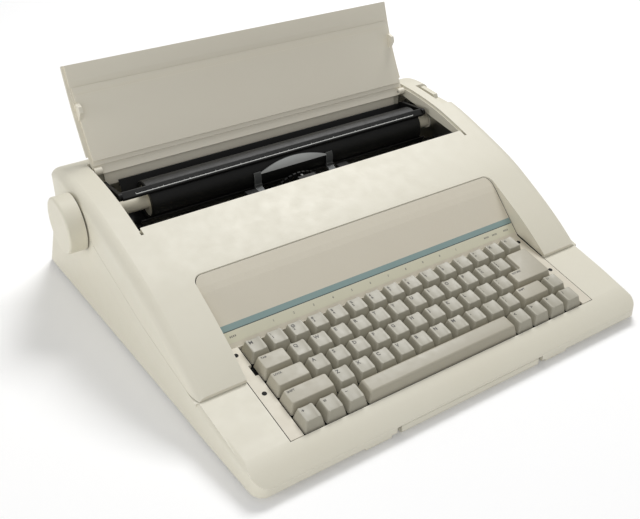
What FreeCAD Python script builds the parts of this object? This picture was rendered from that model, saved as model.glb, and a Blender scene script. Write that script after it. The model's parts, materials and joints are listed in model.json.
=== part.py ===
"""Portable electronic daisy-wheel typewriter, one STEP file per physical piece.

Millimetres. +X is the typist's right, +Y points away from the typist, +Z is up.
The model is built about the middle of the key field's front edge, on the desk,
and every piece is then moved so that the origin is the centre of the footprint.
"""
import FreeCAD, Part
import math
import os

V = FreeCAD.Vector

# ---- keyboard ----
KEY_PITCH = 19.05
KEY_COLUMNS = 15.0
KEY_ROWS = 5
KEY_GAP = 1.1
KEY_HEIGHT = 9.4
KEY_SKIRT_LEVEL = -1.3
KEY_TRAVEL = 3.5
KEY_WALL = 1.4
KEY_SIDE_DRAFT = 2.5
KEY_FRONT_DRAFT = 3.2
KEY_REAR_DRAFT = 1.2
KEY_BASE_RADIUS = 1.0
KEY_TOP_RADIUS = 2.2
KEY_DISH_RADIUS = 34.0
KEY_DISH_DEPTH = 0.55
STEM_RADIUS = 2.5
STEM_CLEARANCE = 0.06
SLEEVE_WALL = 1.4
SPACE_GUIDE_PITCH = 110.0
KEYBOARD_TILT = 9.4

# ---- stack under the keys, levels along the keyboard's own normal ----
STRIP_THICKNESS = 2.5
FRAME_TOP_LEVEL = -5.5
FRAME_THICKNESS = 1.2
SLEEVE_TOP_LEVEL = -0.9
STEM_BOTTOM_LEVEL = -7.6
STEM_TO_DOME = 0.4
DOME_GAP = 0.7
DOME_WALL = 1.3
DOME_SHEET_LEVEL = -12.2
DOME_SHEET_THICKNESS = 0.6
BOARD_THICKNESS = 1.6
SPACER_RADIUS = 1.9

# ---- casing ----
REAR_HALF_WIDTH = 199.5
FRONT_HALF_WIDTH = 194.6
FAIRING_HALF_WIDTH = 197.7
FRONT_Y = -22.0
REAR_Y = 345.0
FAIRING_Y = 61.0
WALL = 2.5
SPLIT_GAP = 0.45
DECK_FRONT_LEVEL = 22.4
FLOOR_UNDERSIDE = 5.8
RIM_BOTTOM = 4.0
RIM_WIDTH = 6.0
FOOT_FRONT_HALF_WIDTH = 194.8
FOOT_REAR_HALF_WIDTH = 206.0
FOOT_REAR_Y = 358.0
FOOT_CORNER_RADIUS = 12.0
REAR_CORNER_RADIUS = 28.0
LIP_TOP = 11.2
LIP_STEP = 0.8
FRONT_CORNER_RADIUS = 20.0
TOP_EDGE_RADIUS = 9.0
SMALL_RADIUS = 0.3
SIDE_BEND_RADIUS = 150.0
DECK_EDGE_RADIUS = 4.5
FOOT_RADIUS = 9.5
PANEL_GAP = 0.7
PANEL_SIDE = 154.6
PANEL_TOP_Y = 143.6
PANEL_TOP_RADIUS = 8.0
OPENING_HALF_WIDTH = 170.3
OPENING_FRONT_Y = 203.7
OPENING_REAR_Y = 306.5
LID_REBATE = 1.7
REBATE_FRONT_Y = 196.0
SKIRT_THICKNESS = 1.8

# ---- lid ----
LID_HINGE_Y = 296.5
LID_HINGE_Z = 109.0
LID_OPEN_ANGLE = 123.3
LID_THICKNESS = 2.2
LID_SIDE_GAP = 0.6
LID_PIN_RADIUS = 1.6
PIN_CLEARANCE = 0.05

# ---- platen ----
PLATEN_Y = 268.0
PLATEN_Z = 84.0
PLATEN_RADIUS = 18.5
PLATEN_LEFT = -138.0
PLATEN_RIGHT = 158.0
PLATEN_CORE_RADIUS = 14.0
JOURNAL_RADIUS = 6.5
SHAFT_RADIUS = 3.0
KNOB_RADIUS = 25.0
KNOB_WIDTH = 15.5
KNOB_GAP = 0.8
FEED_ROLLER_RADIUS = 8.0
FEED_SHAFT_RADIUS = 2.5
FEED_ROLLER_GAP = 0.3
FEED_ROLLER_WIDTH = 26.0
PAN_GAP = 0.9
PAN_THICKNESS = 1.0

# ---- feed gears ----
GEAR_MODULE = 0.9
GEAR_TEETH = 45
PINION_TEETH = 15
GEAR_WIDTH = 5.0
GEAR_BACKLASH = 0.12
PINION_ANGLE = -35.0
MOTOR_RADIUS = 17.0
MOTOR_LENGTH = 20.0
MOTOR_SHAFT_RADIUS = 1.5

# ---- chassis and carriage ----
CHASSIS_X = 178.8
CHASSIS_THICKNESS = 2.0
GUIDE_ROD_RADIUS = 4.0
GUIDE_ROD_Y = 218.0
GUIDE_ROD_Z = 24.0
RAIL_Y = 204.0
RAIL_WIDTH = 3.0
RAIL_BOTTOM = 52.0
RAIL_TOP = 62.0
SLIDE_CLEARANCE = 0.35
ROD_CLEARANCE = 0.05
CARRIAGE_X = 4.0
CARRIAGE_HALF_WIDTH = 38.0
WHEEL_Y = 240.0
WHEEL_Z = 48.0
WHEEL_RADIUS = 36.5
WHEEL_HUB_RADIUS = 11.0
WHEEL_PETALS = 48
WHEEL_THICKNESS = 1.2
WHEEL_MOTOR_RADIUS = 14.0
HAMMER_Z = 82.0
HAMMER_TRAVEL = 3.0
CARD_GAP = 1.7
CARD_THICKNESS = 0.8
CARD_HALF_WIDTH = 39.0
CARD_BOTTOM = 89.5
CARD_TOP = 97.0
CASSETTE_HALF_WIDTH = 56.0
BELT_Y = 194.0
BELT_Z = 41.0
BELT_HEIGHT = 6.0
BELT_THICKNESS = 1.2
PULLEY_RADIUS = 8.0
PULLEY_X = 160.0
BELT_GAP = 0.3

# ---- paper bail and release lever ----
BAIL_PIVOT_Y = 290.0
BAIL_PIVOT_Z = 95.0
BAIL_ANGLE = 56.0
BAIL_WIDTH = 8.0
BAIL_THICKNESS = 3.2
BAIL_GAP = 0.5
BAIL_HALF_LENGTH = 165.2
BAIL_ARM_WIDTH = 3.0
BAIL_HEAD_RADIUS = 3.4
RELEASE_X = 187.0
RELEASE_THICKNESS = 5.0
RELEASE_PIVOT_Y = 279.0
RELEASE_PIVOT_Z = 87.0
NOTCH_FRONT = 247.0
NOTCH_REAR = 292.0
NOTCH_X = 182.0
NOTCH_FLOOR = 103.5

# ---- carrying handle ----
HANDLE_HALF_WIDTH = 71.0
HANDLE_ARM_WIDTH = 9.0
HANDLE_BOTTOM = 1.8
HANDLE_THICKNESS = 3.5
HANDLE_GRIP_DEPTH = 9.0
HANDLE_REACH = 72.0
HANDLE_TRAVEL = 35.0
HANDLE_CLEARANCE = 0.4
LIP_LUG_START = 80.0
LIP_LUG_END = 104.0
LIP_LUG_BOTTOM = 2.2

TILT = math.radians(KEYBOARD_TILT)
DECK_SLOPE = math.tan(TILT)
FIELD_HALF = KEY_PITCH * KEY_COLUMNS / 2.0
FIELD_DEPTH = KEY_PITCH * KEY_ROWS
WELL_HALF = PANEL_SIDE + PANEL_GAP
FLOOR = FLOOR_UNDERSIDE + WALL
STRIP_INNER = FIELD_HALF + 0.7
FRAME_BOTTOM_LEVEL = FRAME_TOP_LEVEL - FRAME_THICKNESS
BOARD_BOTTOM_LEVEL = DOME_SHEET_LEVEL - BOARD_THICKNESS
DOME_SHEET_TOP = DOME_SHEET_LEVEL + DOME_SHEET_THICKNESS
PITCH_RADIUS = GEAR_MODULE * GEAR_TEETH / 2.0
PINION_PITCH_RADIUS = GEAR_MODULE * PINION_TEETH / 2.0
PINION_DISTANCE = PITCH_RADIUS + PINION_PITCH_RADIUS
PINION_Y = PLATEN_Y + PINION_DISTANCE * math.cos(math.radians(PINION_ANGLE))
PINION_Z = PLATEN_Z + PINION_DISTANCE * math.sin(math.radians(PINION_ANGLE))
FEED_Z = PLATEN_Z - PLATEN_RADIUS - FEED_ROLLER_GAP - FEED_ROLLER_RADIUS
CHASSIS_OUTER = CHASSIS_X + CHASSIS_THICKNESS
KNOB_INNER = REAR_HALF_WIDTH + KNOB_GAP
KNOB_OUTER = KNOB_INNER + KNOB_WIDTH
ORIGIN_X = (FOOT_REAR_HALF_WIDTH - KNOB_OUTER) / 2.0
ORIGIN_Y = (FRONT_Y + FOOT_REAR_Y) / 2.0

# Key rows from the front: node, first unit and width in units of each key.
KEY_MAP = (
    (("front_left_keys", 0, 1), ("front_left_keys", 1, 1), ("front_left_keys", 2, 1),
     ("space_bar", 3, 8),
     ("front_right_keys", 11, 1), ("front_right_keys", 12, 1),
     ("front_right_keys", 13, 1), ("front_right_keys", 14, 1)),
    (("left_shift_key", 0, 2.25),)
    + tuple(("lower_row_keys", 2.25 + n, 1) for n in range(10))
    + (("right_shift_key", 12.25, 1.75), ("relocate_key", 14, 1)),
    (("shift_lock_key", 0, 1.75),)
    + tuple(("home_row_keys", 1.75 + n, 1) for n in range(11))
    + (("return_key", 12.75, 2.25),),
    (("tab_key", 0, 1.5),)
    + tuple(("upper_row_keys", 1.5 + n, 1) for n in range(12)),
    (("margin_release_key", 0, 1),)
    + tuple(("number_row_keys", 1 + n, 1) for n in range(12))
    + (("correction_key", 13, 1), ("backspace_key", 14, 1)),
)
RETURN_UPPER_START = 13.5

TOP_POINTS = (
    (FAIRING_Y, 35.6), (83.0, 50.4), (105.0, 62.6), (127.5, 73.6),
    (PANEL_TOP_Y, 81.0), (173.0, 91.2), (OPENING_FRONT_Y, 99.7), (240.0, 108.2),
    (275.0, 112.3), (300.0, 113.1), (315.0, 111.6), (327.0, 106.6), (334.5, 98.6),
    (REAR_Y - 3.2, PLATEN_Z + SPLIT_GAP),
)
SCREW_PLACES = ((-186.0, 120.0), (186.0, 120.0), (-186.0, 330.0), (186.0, 330.0))
SCREW_RADIUS = 1.8
SCREW_HEAD_RADIUS = 3.4
POST_RADIUS = 4.6
LOWER_POST_TOP = 36.0
FOOT_PLACES = ((-165.0, 8.0), (165.0, 8.0), (-165.0, 325.0), (165.0, 325.0))
FOOT_PLUG_RADIUS = 3.0
GLAND_X = -150.0
GLAND_Z = 30.0
GLAND_RADIUS = 6.0
GLAND_BORE_RADIUS = 3.2
SWITCH_X = 150.0
SWITCH_Z = 45.0
SWITCH_WIDTH = 12.0
SWITCH_HEIGHT = 20.0
GLAND_Y = REAR_Y + (FOOT_REAR_Y - REAR_Y) * (PLATEN_Z - GLAND_Z) / (PLATEN_Z - RIM_BOTTOM)
SWITCH_FACE_Y = (REAR_Y + (FOOT_REAR_Y - REAR_Y) * (PLATEN_Z - SWITCH_Z)
                 / (PLATEN_Z - RIM_BOTTOM))
SWITCH_PIVOT_Y = SWITCH_FACE_Y - 8.5
STRIP_SCREW_X = 149.0
STRIP_SCREW_YS = (46.0, 88.5)
STRIP_SCREW_RADIUS = 1.4
STRIP_SCREW_LENGTH = 7.0
STRIP_SCREW_SINK = 1.0
SWITCH_PIN = 1.5
SWITCH_THROW = 14.0
MAIN_BOARD_Z = 16.0
BOARD_POSTS = ((-140.0, 106.0), (56.0, 106.0), (-140.0, 166.0), (56.0, 166.0))
TRANSFORMER_X = 118.0
TRANSFORMER_Y = 134.0
GEAR_X0 = -CHASSIS_OUTER - 2.0 - GEAR_WIDTH
BUSH_RADIUS = 6.0
FEED_ROLLER_XS = (-96.0, -10.0, 30.0, 116.0)
PAN_LEFT = -150.0
PAN_RIGHT = 162.0
BAIL_RADIUS = PLATEN_RADIUS + BAIL_GAP + BAIL_THICKNESS / 2.0
BAIL_Y = PLATEN_Y - BAIL_RADIUS * math.cos(math.radians(BAIL_ANGLE))
BAIL_Z = PLATEN_Z + BAIL_RADIUS * math.sin(math.radians(BAIL_ANGLE))
BAIL_PIN_RADIUS = 1.8
RELEASE_PIN_RADIUS = 2.5
HAMMER_RADIUS = 2.0
IDLER_PIN_RADIUS = 2.0
CARRIAGE_MOTOR_TOP = 33.0


# ---------------------------------------------------------------- helpers

def box(x0, x1, y0, y1, z0, z1):
    """Box between two corners."""
    return Part.makeBox(x1 - x0, y1 - y0, z1 - z0, V(x0, y0, z0))


def rod_x(x0, x1, y, z, radius):
    """Round rod along X."""
    return Part.makeCylinder(radius, x1 - x0, V(x0, y, z), V(1, 0, 0))


def rod_y(x, y0, y1, z, radius):
    """Round rod along Y."""
    return Part.makeCylinder(radius, y1 - y0, V(x, y0, z), V(0, 1, 0))


def rod_z(x, y, z0, z1, radius):
    """Round rod along Z."""
    return Part.makeCylinder(radius, z1 - z0, V(x, y, z0), V(0, 0, 1))


def mirrored(shape):
    """Copy on the other side of the machine's centre plane."""
    return shape.mirror(V(0, 0, 0), V(1, 0, 0))


def both_sides(shape):
    """The shape and its mirror image, as a list."""
    return [shape, mirrored(shape)]


def joined(shapes):
    """One solid from shapes that overlap or touch."""
    return shapes[0].fuse(shapes[1:]).removeSplitter()


def group(shapes):
    """Separate solids kept in one node."""
    return Part.makeCompound(shapes)


def side_prism(points, x0, x1):
    """Polygon of (y, z) points, extruded along X from x0 to x1."""
    wire = Part.makePolygon([V(x0, y, z) for y, z in points] + [V(x0, *points[0])])
    return Part.Face(wire).extrude(V(x1 - x0, 0, 0))


def plan_prism(points, z0, z1):
    """Polygon of (x, y) points, extruded upwards from z0 to z1."""
    wire = Part.makePolygon([V(x, y, z0) for x, y in points] + [V(*points[0], z0)])
    return Part.Face(wire).extrude(V(0, 0, z1 - z0))


def front_prism(points, y0, y1):
    """Polygon of (x, z) points, extruded along Y from y0 to y1."""
    wire = Part.makePolygon([V(x, y0, z) for x, z in points]
                            + [V(points[0][0], y0, points[0][1])])
    return Part.Face(wire).extrude(V(0, y1 - y0, 0))


def rounded_wire(points, radii, z):
    """Closed wire through (x, y) points at height z, each corner with its own radius."""
    edges = []
    count = len(points)
    corners = []
    for n in range(count):
        before = V(*points[n - 1], z)
        corner = V(*points[n], z)
        after = V(*points[(n + 1) % count], z)
        into = (before - corner).normalize()
        out = (after - corner).normalize()
        half = into.getAngle(out) / 2.0
        radius = radii[n]
        setback = radius / math.tan(half)
        centre_way = (into + out).normalize()
        middle = corner + centre_way * (radius / math.sin(half) - radius)
        corners.append((corner + into * setback, middle, corner + out * setback))
    for n in range(count):
        first, middle, last = corners[n]
        edges.append(Part.Arc(first, middle, last).toShape())
        following = corners[(n + 1) % count][0]
        edges.append(Part.makeLine(last, following))
    return Part.Wire(edges)


def rounded_prism(points, radii, z0, z1):
    """Upright prism with rounded corners."""
    return Part.Face(rounded_wire(points, radii, z0)).extrude(V(0, 0, z1 - z0))


def on_keyboard(shape):
    """Move a shape from the keyboard's own flat frame onto the sloping deck."""
    moved = shape.copy()
    moved.rotate(V(0, 0, 0), V(1, 0, 0), KEYBOARD_TILT)
    moved.translate(V(0, 0, DECK_FRONT_LEVEL))
    return moved


def deck_z(y):
    """Height of the sloping deck at y."""
    return DECK_FRONT_LEVEL + DECK_SLOPE * y


def turned(shape, y, z, angle):
    """Turn a shape about an axis along X through (y, z)."""
    moved = shape.copy()
    moved.rotate(V(0, y, z), V(1, 0, 0), angle)
    return moved


def offset_points(points, distance):
    """Points of an open (y, z) line moved to its right-hand side by distance."""
    moved = []
    for n, (y, z) in enumerate(points):
        y0, z0 = points[max(n - 1, 0)]
        y1, z1 = points[min(n + 1, len(points) - 1)]
        length = math.hypot(y1 - y0, z1 - z0)
        moved.append((y + (z1 - z0) / length * distance, z - (y1 - y0) / length * distance))
    return moved


# ---------------------------------------------------------------- casing outline

def split_points(gap):
    """Line where the lower and upper housings meet, front to rear, raised by gap."""
    line = [(FAIRING_Y, deck_z(FAIRING_Y)), (150.0, 49.0), (PLATEN_Y, PLATEN_Z),
            (REAR_Y, PLATEN_Z)]
    return [(y, z + gap) for y, z in line]


def top_curve(points, x):
    """Smooth curve through (y, z) points in the plane at x."""
    curve = Part.BSplineCurve()
    curve.interpolate([V(x, y, z) for y, z in points])
    return curve


def fine_top_points(inset):
    """Points along the smooth top line, moved into the casing by inset."""
    curve = top_curve(TOP_POINTS, 0.0)
    fine = []
    steps = 26
    for n in range(steps + 1):
        at = curve.FirstParameter + (curve.LastParameter - curve.FirstParameter) * n / steps
        point = curve.value(at)
        slope = curve.tangent(at)[0]
        fine.append((point.y + slope.z * inset, point.z - slope.y * inset))
    return fine


def top_solid(inset, half_width, bottom):
    """Everything under the top line moved in by inset, down to the (y, z) bottom line."""
    points = TOP_POINTS if inset == 0 else fine_top_points(inset)
    curve = top_curve(points, -half_width).toShape()
    start = V(-half_width, *points[0])
    end = V(-half_width, *points[-1])
    under = [V(-half_width, y, z) for y, z in bottom]
    rest = Part.makePolygon([end] + under[::-1] + [start])
    face = Part.Face(Part.Wire([curve] + rest.Edges))
    return face.extrude(V(2 * half_width, 0, 0))


def upright_plan(inset):
    """Plan of the lower housing at the split line, as an upright prism."""
    front = FRONT_HALF_WIDTH - inset
    middle = FAIRING_HALF_WIDTH - inset
    rear = REAR_HALF_WIDTH - inset
    plan = [(-front, FRONT_Y + inset), (front, FRONT_Y + inset), (middle, FAIRING_Y),
            (rear, REAR_Y - inset), (-rear, REAR_Y - inset), (-middle, FAIRING_Y)]
    nose = FRONT_CORNER_RADIUS - inset
    tail = REAR_CORNER_RADIUS - inset
    radii = (nose, nose, SIDE_BEND_RADIUS, tail, tail, SIDE_BEND_RADIUS)
    return rounded_prism(plan, radii, -5.0, 200.0)


def upper_plan(inset, rear_radius):
    """Plan of the upper housing, run on past its front, as an upright prism."""
    overrun = 20.0
    rear = REAR_HALF_WIDTH - inset
    narrowing = (REAR_HALF_WIDTH - FAIRING_HALF_WIDTH) / (REAR_Y - FAIRING_Y)
    front = rear - narrowing * (REAR_Y - FAIRING_Y + overrun)
    plan = [(-front, FAIRING_Y - overrun), (front, FAIRING_Y - overrun),
            (rear, REAR_Y - inset), (-rear, REAR_Y - inset)]
    return rounded_prism(plan, (SMALL_RADIUS, SMALL_RADIUS, rear_radius, rear_radius),
                         -5.0, 200.0)


def curved_side_edges(shape, least_length):
    """Edges along the top line on the two sides of the casing."""
    found = []
    for edge in shape.Edges:
        box_ = edge.BoundBox
        if box_.XLength < 3.0 and box_.YLength > least_length and box_.ZMax > 100.0:
            found.append(edge)
    return found


def upper_block(inset, bottom):
    """The upper housing's outer block, or its hollow when inset by the wall."""
    block = top_solid(inset, REAR_HALF_WIDTH + 1.0, bottom)
    block = block.common(upper_plan(inset, SMALL_RADIUS))
    block = block.makeFillet(TOP_EDGE_RADIUS - inset, curved_side_edges(block, 200.0))
    return block.common(upper_plan(inset, REAR_CORNER_RADIUS - inset))


def well_prism(margin, z0, z1):
    """The key well in plan, grown by margin, open to the front."""
    side = WELL_HALF + margin
    rear = PANEL_TOP_Y + PANEL_GAP + margin
    radius = PANEL_TOP_RADIUS + margin
    return rounded_prism([(-side, -80.0), (side, -80.0), (side, rear), (-side, rear)],
                         [radius] * 4, z0, z1)


def upper_housing():
    """Top cover: sloping top, side fairings beside the keys, lid opening."""
    outer_line = split_points(SPLIT_GAP)
    outer = upper_block(0.0, outer_line)
    low_line = [(FAIRING_Y + WALL, -20.0), (OPENING_REAR_Y, -20.0), (OPENING_REAR_Y, PLATEN_Z)]
    hollow = upper_block(WALL, low_line)
    shell = outer.cut(hollow)
    well = well_prism(0.0, -10.0, 130.0)
    well_walls = well_prism(WALL, -10.0, 130.0).cut(well)
    above_deck = side_prism([(FAIRING_Y, deck_z(FAIRING_Y) + SPLIT_GAP),
                             (PANEL_TOP_Y + 8.0, deck_z(PANEL_TOP_Y) + SPLIT_GAP),
                             (PANEL_TOP_Y + 8.0, 130.0), (FAIRING_Y, 130.0)], -170.0, 170.0)
    well_walls = well_walls.common(outer).common(above_deck)
    shell = shell.cut(well).fuse(well_walls)
    opening = box(-OPENING_HALF_WIDTH, OPENING_HALF_WIDTH, OPENING_FRONT_Y, OPENING_REAR_Y,
                  60.0, 130.0)
    shell = shell.cut(opening)
    skirts = opening_skirts().common(outer)
    shell = shell.fuse(skirts)
    shell = shell.cut(rebates())
    shell = lever_notch(shell, outer)
    knob_hole = rod_x(-REAR_HALF_WIDTH - 2.0, -REAR_HALF_WIDTH + 8.0, PLATEN_Y, PLATEN_Z,
                      SHAFT_RADIUS + 3.0)
    shell = shell.cut(knob_hole)
    shell = shell.fuse([post.common(outer) for post in upper_posts()])
    shell = shell.cut(group(screw_bores()))
    pins = [rod_x(sign * OPENING_HALF_WIDTH - 4.0, sign * OPENING_HALF_WIDTH + 4.0,
                  LID_HINGE_Y, LID_HINGE_Z, LID_PIN_RADIUS) for sign in (-1, 1)]
    return shell.cut(group(pins)).removeSplitter()


def opening_skirts():
    """Walls that hang from the edge of the lid opening."""
    side_depth = [(OPENING_FRONT_Y, 85.0), (OPENING_REAR_Y + SKIRT_THICKNESS, 85.0),
                  (OPENING_REAR_Y + SKIRT_THICKNESS, 130.0), (OPENING_FRONT_Y, 130.0)]
    side = side_prism(side_depth, OPENING_HALF_WIDTH, OPENING_HALF_WIDTH + SKIRT_THICKNESS)
    side = side.cut(turned(box(160.0, 180.0, 150.0, 320.0, 40.0, 97.0), 250.0, 97.0, 7.0))
    rear = box(-OPENING_HALF_WIDTH - 1.0, OPENING_HALF_WIDTH + 1.0, OPENING_REAR_Y,
               OPENING_REAR_Y + SKIRT_THICKNESS, 88.0, 130.0)
    front = box(-OPENING_HALF_WIDTH - 1.0, OPENING_HALF_WIDTH + 1.0,
                OPENING_FRONT_Y - SKIRT_THICKNESS, OPENING_FRONT_Y, 93.5, 130.0)
    return joined([side, rear, front, mirrored(side)])


def rebates():
    """Shallow steps along both sides of the opening, in which the lid lies."""
    depth = LID_THICKNESS + 0.3
    outer = top_solid(-5.0, 300.0, [(FAIRING_Y, 20.0), (REAR_Y, 20.0)])
    below = top_solid(depth, 310.0, [(FAIRING_Y, 10.0), (REAR_Y, 10.0)])
    strip = box(OPENING_HALF_WIDTH - 1.0, OPENING_HALF_WIDTH + LID_REBATE, REBATE_FRONT_Y,
                OPENING_REAR_Y, 60.0, 140.0)
    groove = strip.common(outer).cut(below)
    return group(both_sides(groove))


def lever_notch(shell, outer):
    """Scoop in the right shoulder, with a floor and a slot for the release lever."""
    wide = box(NOTCH_X - 2.0, 210.0, NOTCH_FRONT - 2.0, NOTCH_REAR + 2.0,
               NOTCH_FLOOR - 2.5, 130.0).common(outer)
    scoop = box(NOTCH_X, 215.0, NOTCH_FRONT, NOTCH_REAR, NOTCH_FLOOR, 135.0)
    slot = box(RELEASE_X - RELEASE_THICKNESS / 2.0 - 0.8, RELEASE_X + RELEASE_THICKNESS / 2.0 + 0.8,
               NOTCH_FRONT + 2.0, NOTCH_REAR - 2.0, NOTCH_FLOOR - 8.0, NOTCH_FLOOR + 1.0)
    return shell.fuse(wide).cut(scoop).cut(slot)


def upper_posts():
    """Bosses under the top cover that the casing screws go up into."""
    return [rod_z(x, y, LOWER_POST_TOP + SPLIT_GAP, 130.0, POST_RADIUS) for x, y in SCREW_PLACES]


def screw_bores():
    """Blind bores in the upper bosses."""
    return [rod_z(x, y, LOWER_POST_TOP - 1.0, LOWER_POST_TOP + 14.0, SCREW_RADIUS + 0.05)
            for x, y in SCREW_PLACES]


def lower_profile(inset):
    """Side outline of the lower housing, its front roll as an arc."""
    split = split_points(0.0)
    front = FRONT_Y + inset
    roll_foot = V(0, FRONT_Y + LIP_STEP + inset, LIP_TOP + 0.8 - inset * 0.4)
    roll_middle = V(0, -11.0 + inset * 0.5, 18.5 - inset * 0.85)
    roll_top = V(0, 1.0, deck_z(1.0) - inset)
    if inset == 0:
        lower = [V(0, front + 1.0, RIM_BOTTOM), V(0, front, RIM_BOTTOM + 1.0),
                 V(0, front, LIP_TOP), roll_foot]
        upper = [roll_top] + [V(0, y, z) for y, z in split]
        rear = [V(0, FOOT_REAR_Y + 2.0, PLATEN_Z), V(0, FOOT_REAR_Y + 2.0, RIM_BOTTOM), lower[0]]
    else:
        lower = [V(0, front + 2.0, FLOOR), V(0, front + 0.8, FLOOR + 1.0), roll_foot]
        upper = [roll_top, V(0, FAIRING_Y + 3.0, deck_z(FAIRING_Y + 3.0) - inset),
                 V(0, FAIRING_Y + 3.0, 150.0), V(0, FOOT_REAR_Y, 150.0)]
        rear = [V(0, FOOT_REAR_Y, FLOOR), lower[0]]
    arc = Part.Arc(roll_foot, roll_middle, roll_top).toShape()
    edges = Part.makePolygon(lower).Edges + [arc] + Part.makePolygon(upper + rear).Edges
    return Part.Face(Part.Wire(edges))


def flared_sides(inset):
    """Casing sides and rear that lean outwards towards the foot."""
    front = FRONT_Y + inset
    lean = FOOT_REAR_HALF_WIDTH - REAR_HALF_WIDTH
    wires = []
    for narrower, back, corner, z in (
            (0.0, FOOT_REAR_Y, FOOT_CORNER_RADIUS, RIM_BOTTOM),
            (lean, REAR_Y, REAR_CORNER_RADIUS, PLATEN_Z)):
        fore = FOOT_FRONT_HALF_WIDTH - narrower - inset
        aft = FOOT_REAR_HALF_WIDTH - narrower - inset
        plan = [(-fore, front), (fore, front), (aft, back - inset), (-aft, back - inset)]
        radii = (FOOT_CORNER_RADIUS - inset, FOOT_CORNER_RADIUS - inset, corner - inset,
                 corner - inset)
        wires.append(rounded_wire(plan, radii, z))
    return Part.makeLoft(wires, True, True)


def below_shoulder():
    """Space under the rounded deck edges, where the flared sides may show."""
    drop = DECK_EDGE_RADIUS
    return side_prism([(-60.0, -5.0), (FOOT_REAR_Y + 20.0, -5.0), (FOOT_REAR_Y + 20.0, PLATEN_Z),
                       (REAR_Y - 40.0, PLATEN_Z), (PLATEN_Y, PLATEN_Z - drop),
                       (-60.0, deck_z(-60.0) - drop)], -300.0, 300.0)


def lower_block(inset):
    """Lower housing's outer block, or its hollow when inset by the wall."""
    block = lower_profile(inset).extrude(V(2 * FOOT_REAR_HALF_WIDTH + 20.0, 0, 0))
    block.translate(V(-FOOT_REAR_HALF_WIDTH - 10.0, 0, 0))
    return block


def rounded_nose():
    """Front part of the upright sides with its deck edges rounded."""
    under_deck = side_prism([(-60.0, -5.0), (FAIRING_Y, -5.0), (FAIRING_Y, deck_z(FAIRING_Y)),
                             (-60.0, deck_z(-60.0))], -300.0, 300.0)
    slab = upright_plan(0.0).common(under_deck)
    deck_edges = []
    for edge in slab.Edges:
        ends = [vertex.Point for vertex in edge.Vertexes]
        on_deck = all(abs(point.z - deck_z(point.y)) < 0.01 for point in ends)
        if on_deck and edge.BoundBox.YMin < FAIRING_Y - 1.0:
            deck_edges.append(edge)
    return slab.makeFillet(DECK_EDGE_RADIUS, deck_edges)


def lower_housing():
    """Lower tray: floor, side walls, palm deck with the key opening, bosses."""
    block = lower_block(0.0)
    behind = box(-300.0, 300.0, FAIRING_Y, 400.0, -5.0, 200.0)
    upright = rounded_nose().fuse(upright_plan(0.0).common(behind))
    flare = flared_sides(0.0).common(below_shoulder())
    body = block.common(upright).fuse(block.common(flare))
    inner_flare = flared_sides(WALL).common(behind)
    within = lower_block(WALL)
    hollow = within.common(upright_plan(WALL)).fuse(within.common(inner_flare))
    under = rounded_prism([(-(FOOT_FRONT_HALF_WIDTH - RIM_WIDTH), FRONT_Y + RIM_WIDTH),
                           (FOOT_FRONT_HALF_WIDTH - RIM_WIDTH, FRONT_Y + RIM_WIDTH),
                           (FOOT_REAR_HALF_WIDTH - RIM_WIDTH, FOOT_REAR_Y - RIM_WIDTH),
                           (-(FOOT_REAR_HALF_WIDTH - RIM_WIDTH), FOOT_REAR_Y - RIM_WIDTH)],
                          [FOOT_CORNER_RADIUS] * 4, -5.0, FLOOR_UNDERSIDE)
    tray = body.cut(hollow).cut(under)
    key_opening = box(-WELL_HALF, WELL_HALF, -0.6, FAIRING_Y + 10.0, 12.0, 60.0)
    tray = tray.cut(key_opening)
    grip_relief = box(-HANDLE_HALF_WIDTH - 4.5, HANDLE_HALF_WIDTH + 4.5, FRONT_Y - 2.0,
                      FRONT_Y + HANDLE_GRIP_DEPTH + 1.0, 0.0, LIP_TOP - 1.2)
    tray = tray.cut(grip_relief)
    tray = tray.fuse(lower_fittings())
    cuts = [rod_x(-REAR_HALF_WIDTH - 2.0, -REAR_HALF_WIDTH + 8.0, PLATEN_Y, PLATEN_Z,
                  SHAFT_RADIUS + 3.0)]
    for x, y in SCREW_PLACES:
        cuts.append(rod_z(x, y, 0.0, LOWER_POST_TOP + 2.0, SCREW_RADIUS + 0.4))
        cuts.append(rod_z(x, y, 0.0, FLOOR_UNDERSIDE + 6.0, SCREW_HEAD_RADIUS + 0.4))
    for x, y in FOOT_PLACES:
        cuts.append(rod_z(x, y, 0.0, FLOOR + 1.0, FOOT_PLUG_RADIUS + 0.05))
    cuts.append(rod_y(GLAND_X, GLAND_Y - 12.0, GLAND_Y + 4.0, GLAND_Z, GLAND_RADIUS + 0.05))
    cuts.append(switch_hole())
    cuts.extend(vent_slots())
    return tray.cut(group(cuts)).removeSplitter()


def switch_hole():
    """Rectangular hole in the rear wall for the mains switch."""
    return box(SWITCH_X - SWITCH_WIDTH / 2.0 - 0.6, SWITCH_X + SWITCH_WIDTH / 2.0 + 0.6,
               SWITCH_FACE_Y - 8.0, SWITCH_FACE_Y + 6.0, SWITCH_Z - SWITCH_HEIGHT / 2.0 - 0.8,
               SWITCH_Z + SWITCH_HEIGHT / 2.0 + 0.8)


def vent_slots():
    """Cooling slots through the floor under the transformer and the main board."""
    slots = []
    for n in range(9):
        x = 88.0 + 8.0 * n
        slots.append(box(x, x + 3.0, 112.0, 152.0, 0.0, FLOOR + 1.0))
    for n in range(11):
        x = -60.0 + 12.0 * n
        slots.append(box(x, x + 6.0, REAR_Y - 8.0, FOOT_REAR_Y, 58.0, 61.0))
        slots.append(box(x, x + 6.0, REAR_Y - 8.0, FOOT_REAR_Y, 66.0, 69.0))
    return slots


def stack_underside(y):
    """Height of the keyboard board's lower face at y."""
    return deck_z(y) + BOARD_BOTTOM_LEVEL / math.cos(TILT)


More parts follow.
